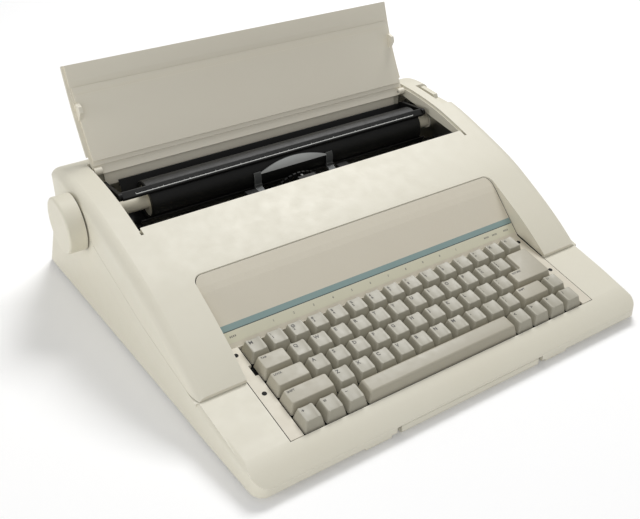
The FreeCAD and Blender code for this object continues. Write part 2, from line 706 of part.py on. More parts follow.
def lower_fittings():
    """Bosses, keyboard ribs, switch cheeks and handle guides inside the tray."""
    pieces = [rod_z(x, y, FLOOR - 1.0, LOWER_POST_TOP, POST_RADIUS) for x, y in SCREW_PLACES]
    for x in (-STRIP_SCREW_X, STRIP_SCREW_X):
        for y in STRIP_SCREW_YS:
            post = rod_z(x, y, FLOOR - 1.0, 60.0, 3.2)
            under = side_prism([(-20.0, 0.0), (200.0, 0.0),
                                (200.0, deck_z(200.0) - STRIP_THICKNESS / math.cos(TILT)),
                                (-20.0, deck_z(-20.0) - STRIP_THICKNESS / math.cos(TILT))],
                               x - 6.0, x + 6.0)
            pilot = rod_z(x, y, deck_z(y) - STRIP_SCREW_LENGTH - 1.5, 60.0, STRIP_SCREW_RADIUS + 0.05)
            pieces.append(post.common(under).cut(pilot))
    for x in (-120.0, -40.0, 40.0, 120.0):
        rib = [(8.0, FLOOR - 1.0), (FIELD_DEPTH - 4.0, FLOOR - 1.0),
               (FIELD_DEPTH - 4.0, stack_underside(FIELD_DEPTH - 4.0)), (8.0, stack_underside(8.0))]
        pieces.append(side_prism(rib, x - 1.0, x + 1.0))
    for x, y in BOARD_POSTS:
        pieces.append(rod_z(x, y, FLOOR - 1.0, MAIN_BOARD_Z, 3.0))
    cheeks = box(SWITCH_X - SWITCH_WIDTH / 2.0 - 4.0, SWITCH_X + SWITCH_WIDTH / 2.0 + 4.0,
                 SWITCH_FACE_Y - WALL - 13.0, SWITCH_FACE_Y - 2.6,
                 SWITCH_Z - SWITCH_HEIGHT / 2.0 - 1.0, SWITCH_Z + SWITCH_HEIGHT / 2.0 + 1.0)
    gap = box(SWITCH_X - SWITCH_WIDTH / 2.0 - 0.6, SWITCH_X + SWITCH_WIDTH / 2.0 + 0.6,
              SWITCH_FACE_Y - 40.0, SWITCH_FACE_Y + 2.0, 0.0, 100.0)
    pivot = rod_x(SWITCH_X - 20.0, SWITCH_X + 20.0, SWITCH_PIVOT_Y, SWITCH_Z, SWITCH_PIN + PIN_CLEARANCE)
    pieces.append(cheeks.cut(gap).cut(pivot))
    gland_sleeve = rod_y(GLAND_X, GLAND_Y - 10.0, GLAND_Y - 1.0, GLAND_Z, GLAND_RADIUS + 2.5)
    pieces.append(gland_sleeve.cut(rod_y(GLAND_X, GLAND_Y - 11.0, GLAND_Y, GLAND_Z,
                                         GLAND_RADIUS + 0.05)))
    pieces.extend(handle_guides())
    lug = box(LIP_LUG_START, LIP_LUG_END, FRONT_Y + 0.6, FRONT_Y + RIM_WIDTH + 3.0, LIP_LUG_BOTTOM,
              FLOOR_UNDERSIDE + 0.5)
    pieces.extend(both_sides(lug))
    return joined(pieces)


def handle_guides():
    """Ribs and a strap under the floor that guide and keep the handle's arms."""
    outer = HANDLE_HALF_WIDTH
    inner = HANDLE_HALF_WIDTH - HANDLE_ARM_WIDTH
    low = HANDLE_BOTTOM - 0.9
    top = FLOOR_UNDERSIDE + 0.5
    outer_rib = box(outer + HANDLE_CLEARANCE, outer + HANDLE_CLEARANCE + 2.4, -4.0,
                    HANDLE_REACH + 4.0, HANDLE_BOTTOM, top)
    inner_rib = box(inner - HANDLE_CLEARANCE - 2.4, inner - HANDLE_CLEARANCE, -4.0,
                    HANDLE_REACH - 8.0 - HANDLE_TRAVEL - 1.0, HANDLE_BOTTOM, top)
    strap = box(inner - HANDLE_CLEARANCE - 2.4, outer + HANDLE_CLEARANCE + 2.4, 2.0, 12.0,
                low, HANDLE_BOTTOM - 0.3)
    links = [box(inner - HANDLE_CLEARANCE - 2.4, inner - HANDLE_CLEARANCE, 2.0, 12.0,
                 low, HANDLE_BOTTOM + 0.5),
             box(outer + HANDLE_CLEARANCE, outer + HANDLE_CLEARANCE + 2.4, 2.0, 12.0,
                 low, HANDLE_BOTTOM + 0.5)]
    side = joined([outer_rib, inner_rib, strap] + links)
    return both_sides(side)


def carry_handle():
    """U-shaped bail under the floor, its grip flush with the front lip."""
    outer = HANDLE_HALF_WIDTH
    inner = outer - HANDLE_ARM_WIDTH
    top = HANDLE_BOTTOM + HANDLE_THICKNESS
    grip = box(-outer, outer, FRONT_Y, FRONT_Y + HANDLE_GRIP_DEPTH, HANDLE_BOTTOM + 0.6,
               LIP_TOP - 1.8)
    grip = grip.makeFillet(1.5, [edge for edge in grip.Edges if edge.BoundBox.XLength > 100.0
                                 and edge.BoundBox.YMax < FRONT_Y + 1.0])
    arm = box(inner, outer, FRONT_Y + 2.0, HANDLE_REACH, HANDLE_BOTTOM, top)
    stop = box(inner - 8.0, inner + 1.0, HANDLE_REACH - 8.0, HANDLE_REACH, HANDLE_BOTTOM, top)
    side = joined([arm, stop])
    return joined([grip, side, mirrored(side)])


def keyboard_panel():
    """Key surround: strips beside the keys and the sloping panel behind them."""
    outer = [(0.0, deck_z(0.0)), (95.8, deck_z(95.8)), (98.6, 41.0), (131.0, 70.8),
             (135.5, 74.4), (PANEL_TOP_Y, 80.3)]
    inner = offset_points(outer, STRIP_THICKNESS)[::-1]
    inner[-1] = (0.0, deck_z(0.0) - STRIP_THICKNESS / math.cos(TILT))
    sheet = side_prism(outer + inner, -PANEL_SIDE, PANEL_SIDE)
    key_hole = box(-STRIP_INNER, STRIP_INNER, -5.0, FIELD_DEPTH * math.cos(TILT) + 1.4, 0.0, 60.0)
    sheet = sheet.cut(key_hole)
    rear_lip = box(-STRIP_INNER - 1.5, STRIP_INNER + 1.5, 96.0, 98.2, 31.0, 38.6)
    sheet = sheet.fuse(rear_lip)
    plan = rounded_prism([(-PANEL_SIDE, -40.0), (PANEL_SIDE, -40.0),
                          (PANEL_SIDE, PANEL_TOP_Y), (-PANEL_SIDE, PANEL_TOP_Y)],
                         [PANEL_TOP_RADIUS - PANEL_GAP] * 4, 0.0, 120.0)
    sheet = sheet.common(plan)
    cuts = []
    for x in (-STRIP_SCREW_X, STRIP_SCREW_X):
        for y in STRIP_SCREW_YS:
            cuts.append(rod_z(x, y, 0.0, 60.0, STRIP_SCREW_RADIUS + 0.1))
    cuts.append(box(-STRIP_INNER - 2.6, -STRIP_INNER + 1.0, 63.8, 74.9, 20.0, 60.0))
    return sheet.cut(group(cuts)).removeSplitter()


# ---------------------------------------------------------------- keys

def key_polygon(row, start, width, inset):
    """Corner points of a key in the keyboard frame, pulled in on every side."""
    side, front, rear = inset
    half_gap = KEY_GAP / 2.0
    x0 = start * KEY_PITCH - FIELD_HALF + half_gap + side
    x1 = (start + width) * KEY_PITCH - FIELD_HALF - half_gap - side
    u0 = row * KEY_PITCH + half_gap + front
    u1 = (row + 1) * KEY_PITCH - half_gap - rear
    return [(x0, u0), (x1, u0), (x1, u1), (x0, u1)]


def return_polygon(inset):
    """Corner points of the L-shaped return key, which covers two rows."""
    lower = key_polygon(2, 12.75, 2.25, inset)
    upper = key_polygon(3, RETURN_UPPER_START, 1.5, inset)
    return [lower[0], lower[1], upper[2], upper[3], (upper[0][0], lower[2][1]), lower[3]]


def tapered_cap(polygon, radii, bottom, top, insets):
    """Loft from the wider foot of a key to its narrower top."""
    low_points = polygon(insets[0])
    low = rounded_wire(low_points, [radii[0]] * len(low_points), bottom)
    high = rounded_wire(polygon(insets[1]), [radii[1]] * len(low_points), top)
    return Part.makeLoft([low, high], True, True)


def key_cap(polygon, stems):
    """One key: hollow tapered cap with a dished top and its stems."""
    bottom = KEY_SKIRT_LEVEL
    top = KEY_SKIRT_LEVEL + KEY_HEIGHT
    draft = (KEY_SIDE_DRAFT, KEY_FRONT_DRAFT, KEY_REAR_DRAFT)
    wall = KEY_WALL
    outer = tapered_cap(polygon, (KEY_BASE_RADIUS, KEY_TOP_RADIUS), bottom, top,
                        ((0.0, 0.0, 0.0), draft))
    inner_top = top - wall - KEY_DISH_DEPTH
    part_way = (inner_top - bottom) / KEY_HEIGHT
    inner_insets = ((wall, wall, wall), tuple(wall + part_way * value for value in draft))
    inner = tapered_cap(polygon, (0.6, 0.9), bottom - 0.01, inner_top, inner_insets)
    cap = outer.cut(inner)
    points = polygon(draft)
    x0 = min(point[0] for point in points)
    x1 = max(point[0] for point in points)
    u0 = min(point[1] for point in points)
    u1 = max(point[1] for point in points)
    if x1 - x0 < KEY_PITCH:
        dish = Part.makeCylinder(KEY_DISH_RADIUS, u1 - u0 + 10.0,
                                 V((x0 + x1) / 2.0, u0 - 5.0,
                                   top - KEY_DISH_DEPTH + KEY_DISH_RADIUS), V(0, 1, 0))
        cap = cap.cut(dish)
    posts = [rod_z(x, u, STEM_BOTTOM_LEVEL, inner_top + 0.4, STEM_RADIUS) for x, u in stems]
    return cap.fuse(posts)


def key_stems(node, row, start, width):
    """Stem centres of one key in the keyboard frame."""
    x = (start + width / 2.0) * KEY_PITCH - FIELD_HALF
    u = (row + 0.5) * KEY_PITCH
    if node == "space_bar":
        half = SPACE_GUIDE_PITCH / 2.0
        return [(x - half, u), (x, u), (x + half, u)]
    if node == "return_key":
        x = (RETURN_UPPER_START + 0.75) * KEY_PITCH - FIELD_HALF
    return [(x, u)]


def key_nodes():
    """All keys, gathered by node, and every stem centre."""
    nodes = {}
    stems = []
    for row, keys in enumerate(KEY_MAP):
        for node, start, width in keys:
            places = key_stems(node, row, start, width)
            stems.extend(places)
            if node == "return_key":
                cap = key_cap(return_polygon, places)
            else:
                cap = key_cap(lambda inset, r=row, s=start, w=width: key_polygon(r, s, w, inset),
                              places)
            nodes.setdefault(node, []).append(on_keyboard(cap))
    return nodes, stems


def spacer_places():
    """Where the key frame's spacers stand, between the key rows."""
    return [(x, u) for x in (-133.35, -47.6, 47.6, 133.35) for u in (KEY_PITCH, 4 * KEY_PITCH)]


def key_frame(stems):
    """Plate with a guide sleeve for every stem and spacers down to the board."""
    half = FIELD_HALF + 1.0
    plate = box(-half, half, 0.6, FIELD_DEPTH, FRAME_BOTTOM_LEVEL, FRAME_TOP_LEVEL)
    outer = STEM_RADIUS + STEM_CLEARANCE + SLEEVE_WALL
    sleeves = [rod_z(x, u, FRAME_BOTTOM_LEVEL, SLEEVE_TOP_LEVEL, outer) for x, u in stems]
    spacers = [rod_z(x, u, DOME_SHEET_LEVEL, FRAME_TOP_LEVEL, SPACER_RADIUS)
               for x, u in spacer_places()]
    bores = [rod_z(x, u, -20.0, 5.0, STEM_RADIUS + STEM_CLEARANCE) for x, u in stems]
    frame = plate.fuse(sleeves + spacers).cut(group(bores))
    return on_keyboard(frame)


def dome_sheet(stems):
    """Rubber sheet with an open collar under every stem."""
    half = FIELD_HALF + 0.5
    sheet = box(-half, half, 1.0, FIELD_DEPTH - 0.5, DOME_SHEET_LEVEL, DOME_SHEET_TOP)
    top = STEM_BOTTOM_LEVEL - STEM_TO_DOME
    hole = STEM_RADIUS + DOME_GAP
    collars = [rod_z(x, u, DOME_SHEET_LEVEL, top, hole + DOME_WALL) for x, u in stems]
    wells = [rod_z(x, u, DOME_SHEET_TOP, top + 1.0, hole) for x, u in stems]
    holes = [rod_z(x, u, -20.0, 0.0, SPACER_RADIUS + 0.3) for x, u in spacer_places()]
    return on_keyboard(sheet.fuse(collars).cut(group(wells + holes)))


def keyboard_board():
    """Contact board under the rubber sheet."""
    half = FIELD_HALF + 1.0
    return on_keyboard(box(-half, half, 0.8, FIELD_DEPTH, BOARD_BOTTOM_LEVEL, DOME_SHEET_LEVEL))


# ---------------------------------------------------------------- lid

def closed_lid():
    """Lid in its closed place: outer skin on the casing's top line, stepped inside."""
    half = OPENING_HALF_WIDTH + LID_REBATE - LID_SIDE_GAP
    front = OPENING_FRONT_Y + 0.7
    rear = LID_HINGE_Y + 3.0
    bottom = [(FAIRING_Y, 20.0), (REAR_Y, 20.0)]
    outer = top_solid(0.0, half, bottom)
    inner = top_solid(LID_THICKNESS, half + 10.0, bottom)
    skin = outer.cut(inner).common(box(-half, half, front, rear, 60.0, 130.0))
    deep = top_solid(LID_THICKNESS - 0.4, half - 4.0, bottom)
    lower = top_solid(LID_THICKNESS + 2.6, half + 10.0, bottom)
    panel = deep.cut(lower).common(box(-half + 4.0, half - 4.0, front + 26.0, rear - 12.0,
                                       60.0, 130.0))
    step = top_solid(LID_THICKNESS + 1.3, half + 10.0, bottom)
    band = deep.cut(step).common(box(-half + 4.0, half - 4.0, front + 19.0, rear - 8.0,
                                     60.0, 130.0))
    pieces = [skin, panel, band]
    for n in range(6):
        x = -150.0 + 60.0 * n
        rib = deep.cut(top_solid(LID_THICKNESS + 0.9, half + 10.0, bottom))
        pieces.append(rib.common(box(x, x + 1.0, front + 0.6, front + 8.0, 60.0, 130.0)))
    hinge = rod_x(half - 9.0, half - LID_REBATE - 0.3, LID_HINGE_Y, LID_HINGE_Z, 3.2)
    lug = box(half - 9.0, half - LID_REBATE - 0.3, LID_HINGE_Y - 3.0, LID_HINGE_Y + 2.6,
              LID_HINGE_Z, 130.0).common(outer)
    catch_y = front + 33.0
    catch = side_prism([(catch_y, 100.0), (catch_y + 4.0, 96.0), (catch_y + 9.0, 97.0),
                        (catch_y + 14.0, 106.0), (catch_y + 14.0, 109.0), (catch_y, 109.0)],
                       half - 6.0, half - 3.0).common(outer)
    for piece in (hinge, lug, catch):
        pieces.extend(both_sides(piece))
    lid_shape = joined(pieces)
    corner = box(OPENING_HALF_WIDTH - LID_SIDE_GAP, half + 1.0, LID_HINGE_Y - 14.0, rear + 1.0,
                 60.0, 130.0)
    lid_shape = lid_shape.cut(group(both_sides(corner)))
    bores = [rod_x(sign * (half - 7.0) - 8.0, sign * (half - 7.0) + 8.0, LID_HINGE_Y,
                   LID_HINGE_Z, LID_PIN_RADIUS + PIN_CLEARANCE) for sign in (-1, 1)]
    return lid_shape.cut(group(bores))


def lid():
    """Lid swung up to its stop."""
    return turned(closed_lid(), LID_HINGE_Y, LID_HINGE_Z, -LID_OPEN_ANGLE)


def lid_hinge_pins():
    """Two short pins, pressed into the opening's side walls."""
    half = OPENING_HALF_WIDTH
    pin = rod_x(half - 7.5, half + 1.6, LID_HINGE_Y, LID_HINGE_Z, LID_PIN_RADIUS)
    return group(both_sides(pin))


# ---------------------------------------------------------------- platen and paper feed

def platen_roller():
    """Rubber sleeve of the platen."""
    roller = rod_x(PLATEN_LEFT, PLATEN_RIGHT, PLATEN_Y, PLATEN_Z, PLATEN_RADIUS)
    roller = roller.makeChamfer(0.6, [edge for edge in roller.Edges
                                      if edge.BoundBox.XLength < 0.1])
    return roller.cut(rod_x(PLATEN_LEFT - 1.0, PLATEN_RIGHT + 1.0, PLATEN_Y, PLATEN_Z,
                            PLATEN_CORE_RADIUS))


def platen_core():
    """Moulded core with a journal sleeve at each end."""
    core = rod_x(PLATEN_LEFT + 2.0, PLATEN_RIGHT - 2.0, PLATEN_Y, PLATEN_Z, PLATEN_CORE_RADIUS)
    journals = rod_x(-CHASSIS_X + 1.5, CHASSIS_X - 1.5, PLATEN_Y, PLATEN_Z, JOURNAL_RADIUS)
    bore = rod_x(-200.0, 200.0, PLATEN_Y, PLATEN_Z, SHAFT_RADIUS)
    return core.fuse(journals).cut(bore)


def platen_shaft():
    """Steel shaft through the platen, from the knob to the right bush."""
    shaft = rod_x(-KNOB_OUTER + 5.0, CHASSIS_OUTER + 3.0, PLATEN_Y, PLATEN_Z, SHAFT_RADIUS)
    return shaft


def platen_knob():
    """Hand knob on the left end of the platen shaft."""
    knob = rod_x(-KNOB_OUTER, -KNOB_INNER, PLATEN_Y, PLATEN_Z, KNOB_RADIUS)
    outer = [edge for edge in knob.Edges if edge.BoundBox.XMax < -KNOB_OUTER + 0.1]
    knob = knob.makeFillet(2.2, outer)
    ring = rod_x(-KNOB_INNER - 12.0, -KNOB_INNER + 0.1, PLATEN_Y, PLATEN_Z, KNOB_RADIUS - 2.4)
    hub = rod_x(-KNOB_INNER - 13.0, -KNOB_INNER + 0.2, PLATEN_Y, PLATEN_Z, 7.0)
    knob = knob.cut(ring.cut(hub))
    return knob.cut(rod_x(-KNOB_OUTER + 5.0, -KNOB_INNER + 1.0, PLATEN_Y, PLATEN_Z, SHAFT_RADIUS))


def involute_gear(teeth, x0, x1, y, z, bore, turn):
    """Spur gear about an axis along X, its flanks true involutes."""
    pitch_radius = GEAR_MODULE * teeth / 2.0
    pressure = math.radians(20.0)
    base = pitch_radius * math.cos(pressure)
    tip = pitch_radius + 0.85 * GEAR_MODULE
    root = pitch_radius - 1.15 * GEAR_MODULE
    thickness = math.pi * GEAR_MODULE / 2.0 - GEAR_BACKLASH
    half_tooth = thickness / (2.0 * pitch_radius) + math.tan(pressure) - pressure
    points = []
    for tooth in range(teeth):
        centre = math.radians(turn) + 2.0 * math.pi * tooth / teeth
        flank = []
        start = max(base, root)
        for n in range(5):
            radius = start + (tip - start) * n / 4.0
            roll = math.acos(min(1.0, base / radius))
            flank.append((radius, half_tooth - (math.tan(roll) - roll)))
        if root < base:
            flank.insert(0, (root, half_tooth))
        points.extend((radius, centre - angle) for radius, angle in flank)
        points.extend((radius, centre + angle) for radius, angle in flank[::-1])
    outline = [(y + radius * math.cos(angle), z + radius * math.sin(angle))
               for radius, angle in points]
    return side_prism(outline, x0, x1).cut(rod_x(x0 - 1.0, x1 + 1.0, y, z, bore))


def platen_gear():
    """Feed gear on the platen shaft, outside the left side plate."""
    return involute_gear(GEAR_TEETH, GEAR_X0, GEAR_X0 + GEAR_WIDTH, PLATEN_Y, PLATEN_Z,
                         SHAFT_RADIUS, PINION_ANGLE)


def feed_pinion():
    """Motor pinion that drives the platen gear."""
    half_pitch = 180.0 / PINION_TEETH
    return involute_gear(PINION_TEETH, GEAR_X0, GEAR_X0 + GEAR_WIDTH, PINION_Y, PINION_Z,
                         MOTOR_SHAFT_RADIUS + PIN_CLEARANCE,
                         PINION_ANGLE + 180.0 + half_pitch)


def feed_motor():
    """Line-feed stepper motor on the inside of the left side plate."""
    can = rod_x(-CHASSIS_X, -CHASSIS_X + MOTOR_LENGTH, PINION_Y, PINION_Z, MOTOR_RADIUS)
    shaft = rod_x(GEAR_X0 - 1.0, -CHASSIS_X + 1.0, PINION_Y, PINION_Z, MOTOR_SHAFT_RADIUS)
    return can.fuse(shaft)


def platen_bushes():
    """Flanged bushes for the platen shaft in both side plates."""
    bush = rod_x(CHASSIS_X - 1.0, CHASSIS_OUTER + 1.0, PLATEN_Y, PLATEN_Z, BUSH_RADIUS)
    flange = rod_x(CHASSIS_X - 1.0, CHASSIS_X, PLATEN_Y, PLATEN_Z, BUSH_RADIUS + 2.0)
    bush = bush.fuse(flange).cut(rod_x(170.0, 190.0, PLATEN_Y, PLATEN_Z,
                                       SHAFT_RADIUS + PIN_CLEARANCE))
    return group(both_sides(bush))


def feed_rollers():
    """Rubber pressure rollers under the platen."""
    rollers = []
    for x in FEED_ROLLER_XS:
        roller = rod_x(x - FEED_ROLLER_WIDTH / 2.0, x + FEED_ROLLER_WIDTH / 2.0, PLATEN_Y,
                       FEED_Z, FEED_ROLLER_RADIUS)
        rollers.append(roller.cut(rod_x(x - 20.0, x + 20.0, PLATEN_Y, FEED_Z,
                                        FEED_SHAFT_RADIUS)))
    return group(rollers)


def feed_roller_shaft():
    """Steel shaft that carries the pressure rollers."""
    return rod_x(-CHASSIS_OUTER + 0.2, CHASSIS_OUTER - 0.2, PLATEN_Y, FEED_Z, FEED_SHAFT_RADIUS)


def ring_sector(x0, x1, inner, outer, start, end):
    """Part of a tube about the platen axis, between two angles in degrees."""
    tube = rod_x(x0, x1, PLATEN_Y, PLATEN_Z, outer).cut(
        rod_x(x0 - 1.0, x1 + 1.0, PLATEN_Y, PLATEN_Z, inner))
    reach = outer * 2.5
    steps = 6
    corners = [(PLATEN_Y, PLATEN_Z)]
    for n in range(steps + 1):
        angle = math.radians(start + (end - start) * n / steps)
        corners.append((PLATEN_Y + reach * math.cos(angle), PLATEN_Z + reach * math.sin(angle)))
    return tube.common(side_prism(corners, x0, x1))


def paper_pan():
    """Curved guide that leads the paper down behind and under the platen."""
    inner = PLATEN_RADIUS + PAN_GAP
    outer = inner + PAN_THICKNESS
    curve = ring_sector(PAN_LEFT, PAN_RIGHT, inner, outer, -160.0, 8.0)
    start = math.radians(8.0)
    y0 = PLATEN_Y + outer * math.cos(start)
    z0 = PLATEN_Z + outer * math.sin(start)
    chute = side_prism([(y0 - 1.05, z0 - 0.6), (y0 + 0.05, z0 - 0.6),
                        (y0 + 6.5, 97.0), (y0 + 5.4, 97.0)], PAN_LEFT, PAN_RIGHT)
    pan = curve.fuse(chute)
    windows = [box(x - FEED_ROLLER_WIDTH / 2.0 - 1.5, x + FEED_ROLLER_WIDTH / 2.0 + 1.5,
                   PLATEN_Y - 10.0, PLATEN_Y + 10.0, 50.0, PLATEN_Z - 10.0)
               for x in FEED_ROLLER_XS]
    pan = pan.cut(group(windows))
    feet = []
    for x0, x1 in ((-CHASSIS_X, PAN_LEFT + 1.0), (PAN_RIGHT - 1.0, CHASSIS_X)):
        feet.append(box(x0, x1, PLATEN_Y - 18.0, PLATEN_Y - 10.0, PLATEN_Z - 22.0,
                        PLATEN_Z - 20.5))
        feet.append(box(x0, x1, PLATEN_Y - 18.0, PLATEN_Y - 14.0, PLATEN_Z - 22.0,
                        PLATEN_Z - 12.5))
    bracket_left = feet[0].fuse(feet[1])
    bracket_right = feet[2].fuse(feet[3])
    clear = rod_x(-200.0, 200.0, PLATEN_Y, PLATEN_Z, inner)
    return joined([pan, bracket_left.cut(clear), bracket_right.cut(clear)])


# ---------------------------------------------------------------- bail and release lever


def bail_bar():
    """Flat bar that holds the paper against the platen."""
    half = BAIL_HALF_LENGTH - BAIL_ARM_WIDTH
    bar = box(-half, half, BAIL_Y - BAIL_WIDTH / 2.0, BAIL_Y + BAIL_WIDTH / 2.0,
              BAIL_Z - BAIL_THICKNESS / 2.0, BAIL_Z + BAIL_THICKNESS / 2.0)
    bar = bar.makeFillet(1.2, [edge for edge in bar.Edges if edge.BoundBox.XLength > 100.0])
    return turned(bar, BAIL_Y, BAIL_Z, 90.0 - BAIL_ANGLE)


def bail_arms():
    """Two arms that swing the bail bar, with stub pins into the side plates."""
    x0 = BAIL_HALF_LENGTH - BAIL_ARM_WIDTH
    x1 = BAIL_HALF_LENGTH
    head = rod_x(x0, x1, BAIL_Y, BAIL_Z, BAIL_HEAD_RADIUS)
    heel = rod_x(x0, x1, BAIL_PIVOT_Y, BAIL_PIVOT_Z, 5.0)
    web = side_prism([(BAIL_Y + 0.5, BAIL_Z + 3.3), (BAIL_PIVOT_Y + 1.0, BAIL_PIVOT_Z + 4.9),
                      (BAIL_PIVOT_Y - 2.0, BAIL_PIVOT_Z - 2.6), (BAIL_Y + 2.0, BAIL_Z - 2.4)],
                     x0, x1)
    pin = rod_x(x0 + 0.5, CHASSIS_OUTER - 0.3, BAIL_PIVOT_Y, BAIL_PIVOT_Z, BAIL_PIN_RADIUS)
    arm = joined([head, heel, web, pin])
    return group(both_sides(arm))


def release_lever():
    """Paper release lever that stands up through the right shoulder."""
    x0 = RELEASE_X - RELEASE_THICKNESS / 2.0
    x1 = RELEASE_X + RELEASE_THICKNESS / 2.0
    y = RELEASE_PIVOT_Y
    z = RELEASE_PIVOT_Z
    blade = side_prism([(y - 4.0, z), (y + 4.0, z), (y + 3.0, z + 15.0), (y + 9.0, z + 24.5),
                        (y + 7.0, z + 26.5), (y - 14.0, z + 25.5), (y - 16.0, z + 21.5),
                        (y - 5.0, z + 14.0)], x0, x1)
    boss = rod_x(x0, x1, y, z, 5.0)
    pin = rod_x(CHASSIS_X + 0.2, x0 + 0.5, y, z, RELEASE_PIN_RADIUS)
    tail = side_prism([(y - 3.0, z), (y - 3.5, z - 20.0), (y + 1.0, z - 20.0), (y + 3.0, z)],
                      x0, x1)
    return joined([blade, boss, pin, tail])


# ---------------------------------------------------------------- chassis

def side_plate():
    """Right-hand side plate with its floor flange and the holes both sides share."""
    outline = [(172.0, FLOOR), (312.0, FLOOR), (312.0, 84.0), (300.0, 99.5), (238.0, 99.5),
               (210.0, 92.0), (176.0, 60.0)]
    plate = side_prism(outline, CHASSIS_X, CHASSIS_OUTER)
    flange = box(CHASSIS_X, CHASSIS_OUTER + 8.0, 172.0, 312.0, FLOOR, FLOOR + 2.0)
    plate = plate.fuse(flange)
    x0 = CHASSIS_X - 1.0
    x1 = CHASSIS_OUTER + 1.0
    holes = [rod_x(x0, x1, PLATEN_Y, PLATEN_Z, BUSH_RADIUS),
             rod_x(x0, x1, GUIDE_ROD_Y, GUIDE_ROD_Z, GUIDE_ROD_RADIUS),
             rod_x(x0, x1, PLATEN_Y, FEED_Z, FEED_SHAFT_RADIUS + PIN_CLEARANCE),
             rod_x(x0, x1, BAIL_PIVOT_Y, BAIL_PIVOT_Z, BAIL_PIN_RADIUS + PIN_CLEARANCE),
             box(x0, x1, RAIL_Y, RAIL_Y + RAIL_WIDTH, RAIL_BOTTOM, RAIL_TOP)]
    return plate.cut(group(holes))


def side_plates():
    """Both side plates: the lever's pivot hole on the right, the motor's on the left."""
    lever_hole = rod_x(CHASSIS_X - 1.0, CHASSIS_OUTER + 1.0, RELEASE_PIVOT_Y, RELEASE_PIVOT_Z,
                       RELEASE_PIN_RADIUS + PIN_CLEARANCE)
    motor_hole = rod_x(-CHASSIS_OUTER - 1.0, -CHASSIS_X + 1.0, PINION_Y, PINION_Z,
                       MOTOR_SHAFT_RADIUS + 2.0)
    right = side_plate()
    return group([right.cut(lever_hole), mirrored(right).cut(motor_hole)])


def guide_rod():
    """Round rod that carries the carriage."""
    return rod_x(-CHASSIS_OUTER, CHASSIS_OUTER, GUIDE_ROD_Y, GUIDE_ROD_Z, GUIDE_ROD_RADIUS)


def support_rail():
    """Flat rail that keeps the carriage upright."""
    return box(-CHASSIS_OUTER, CHASSIS_OUTER, RAIL_Y, RAIL_Y + RAIL_WIDTH, RAIL_BOTTOM, RAIL_TOP)


def carriage_frame():
    """Carriage: bearing tube, upright plate, rail shoe and belt clamp."""
    x = CARRIAGE_X
    half = CARRIAGE_HALF_WIDTH
    tube = rod_x(x - half, x + half, GUIDE_ROD_Y, GUIDE_ROD_Z, GUIDE_ROD_RADIUS + 3.5)
    plate = box(x - half, x + half, 222.0, 226.0, GUIDE_ROD_Z - 2.0, 66.0)
    shelf = box(x - half - 6.0, x + half + 6.0, RAIL_Y - SLIDE_CLEARANCE - 3.0, 226.0,
                RAIL_TOP + SLIDE_CLEARANCE, 66.0)
    front_lip = box(x - half, x + half, RAIL_Y - SLIDE_CLEARANCE - 3.0, RAIL_Y - SLIDE_CLEARANCE,
                    RAIL_TOP - 5.0, RAIL_TOP + 1.0)
    rear_lip = box(x - half, x + half, RAIL_Y + RAIL_WIDTH + SLIDE_CLEARANCE,
                   RAIL_Y + RAIL_WIDTH + SLIDE_CLEARANCE + 3.0, RAIL_TOP - 5.0, RAIL_TOP + 1.0)
    strand = BELT_Y + PULLEY_RADIUS + BELT_GAP
    clamp = box(x - 8.0, x + 8.0, strand - 2.6, strand + BELT_THICKNESS + 2.6,
                BELT_Z - BELT_HEIGHT / 2.0 - 3.0, BELT_Z + BELT_HEIGHT / 2.0 + 3.0)
    arm = box(x - 8.0, x + 8.0, RAIL_Y - SLIDE_CLEARANCE - 3.0, RAIL_Y - SLIDE_CLEARANCE,
              BELT_Z + BELT_HEIGHT / 2.0 + 1.0, RAIL_TOP + 1.0)
    frame = joined([tube, plate, shelf, front_lip, rear_lip, clamp, arm])
    cuts = [rod_x(x - half - 1.0, x + half + 1.0, GUIDE_ROD_Y, GUIDE_ROD_Z,
                  GUIDE_ROD_RADIUS + ROD_CLEARANCE),
            rod_y(x, 215.0, 230.0, WHEEL_Z, WHEEL_MOTOR_RADIUS),
            box(x - 9.0, x + 9.0, strand - SLIDE_CLEARANCE,
                strand + BELT_THICKNESS + SLIDE_CLEARANCE,
                BELT_Z - BELT_HEIGHT / 2.0 - SLIDE_CLEARANCE,
                BELT_Z + BELT_HEIGHT / 2.0 + SLIDE_CLEARANCE)]
    return frame.cut(group(cuts))


def daisy_motor():
    """Stepper that turns the print wheel."""
    x = CARRIAGE_X
    can = rod_y(x, 213.0, 234.0, WHEEL_Z, WHEEL_MOTOR_RADIUS)
    shaft = rod_y(x, 233.0, WHEEL_Y + 5.0, WHEEL_Z, MOTOR_SHAFT_RADIUS)
    return can.fuse(shaft)


def daisy_wheel():
    """Print wheel: hub and a ring of thin petals with type pads."""
    x = CARRIAGE_X
    y0 = WHEEL_Y - WHEEL_THICKNESS / 2.0
    y1 = WHEEL_Y + WHEEL_THICKNESS / 2.0
    hub = rod_y(x, WHEEL_Y - 3.0, WHEEL_Y + 3.0, WHEEL_Z, 6.0)
    disc = rod_y(x, y0, y1, WHEEL_Z, WHEEL_HUB_RADIUS)
    petals = []
    for n in range(WHEEL_PETALS):
        petal = box(x - 0.7, x + 0.7, y0, y1, WHEEL_Z + WHEEL_HUB_RADIUS - 1.0,
                    WHEEL_Z + WHEEL_RADIUS)
        pad = box(x - 1.5, x + 1.5, y0 - 0.3, y1 + 0.5, WHEEL_Z + WHEEL_RADIUS - 4.0,
                  WHEEL_Z + WHEEL_RADIUS)
        blade = petal.fuse(pad)
        blade.rotate(V(x, WHEEL_Y, WHEEL_Z), V(0, 1, 0), 360.0 * n / WHEEL_PETALS)
        petals.append(blade)
    wheel = hub.fuse([disc] + petals)
    return wheel.cut(rod_y(x, 230.0, 250.0, WHEEL_Z, MOTOR_SHAFT_RADIUS + PIN_CLEARANCE))


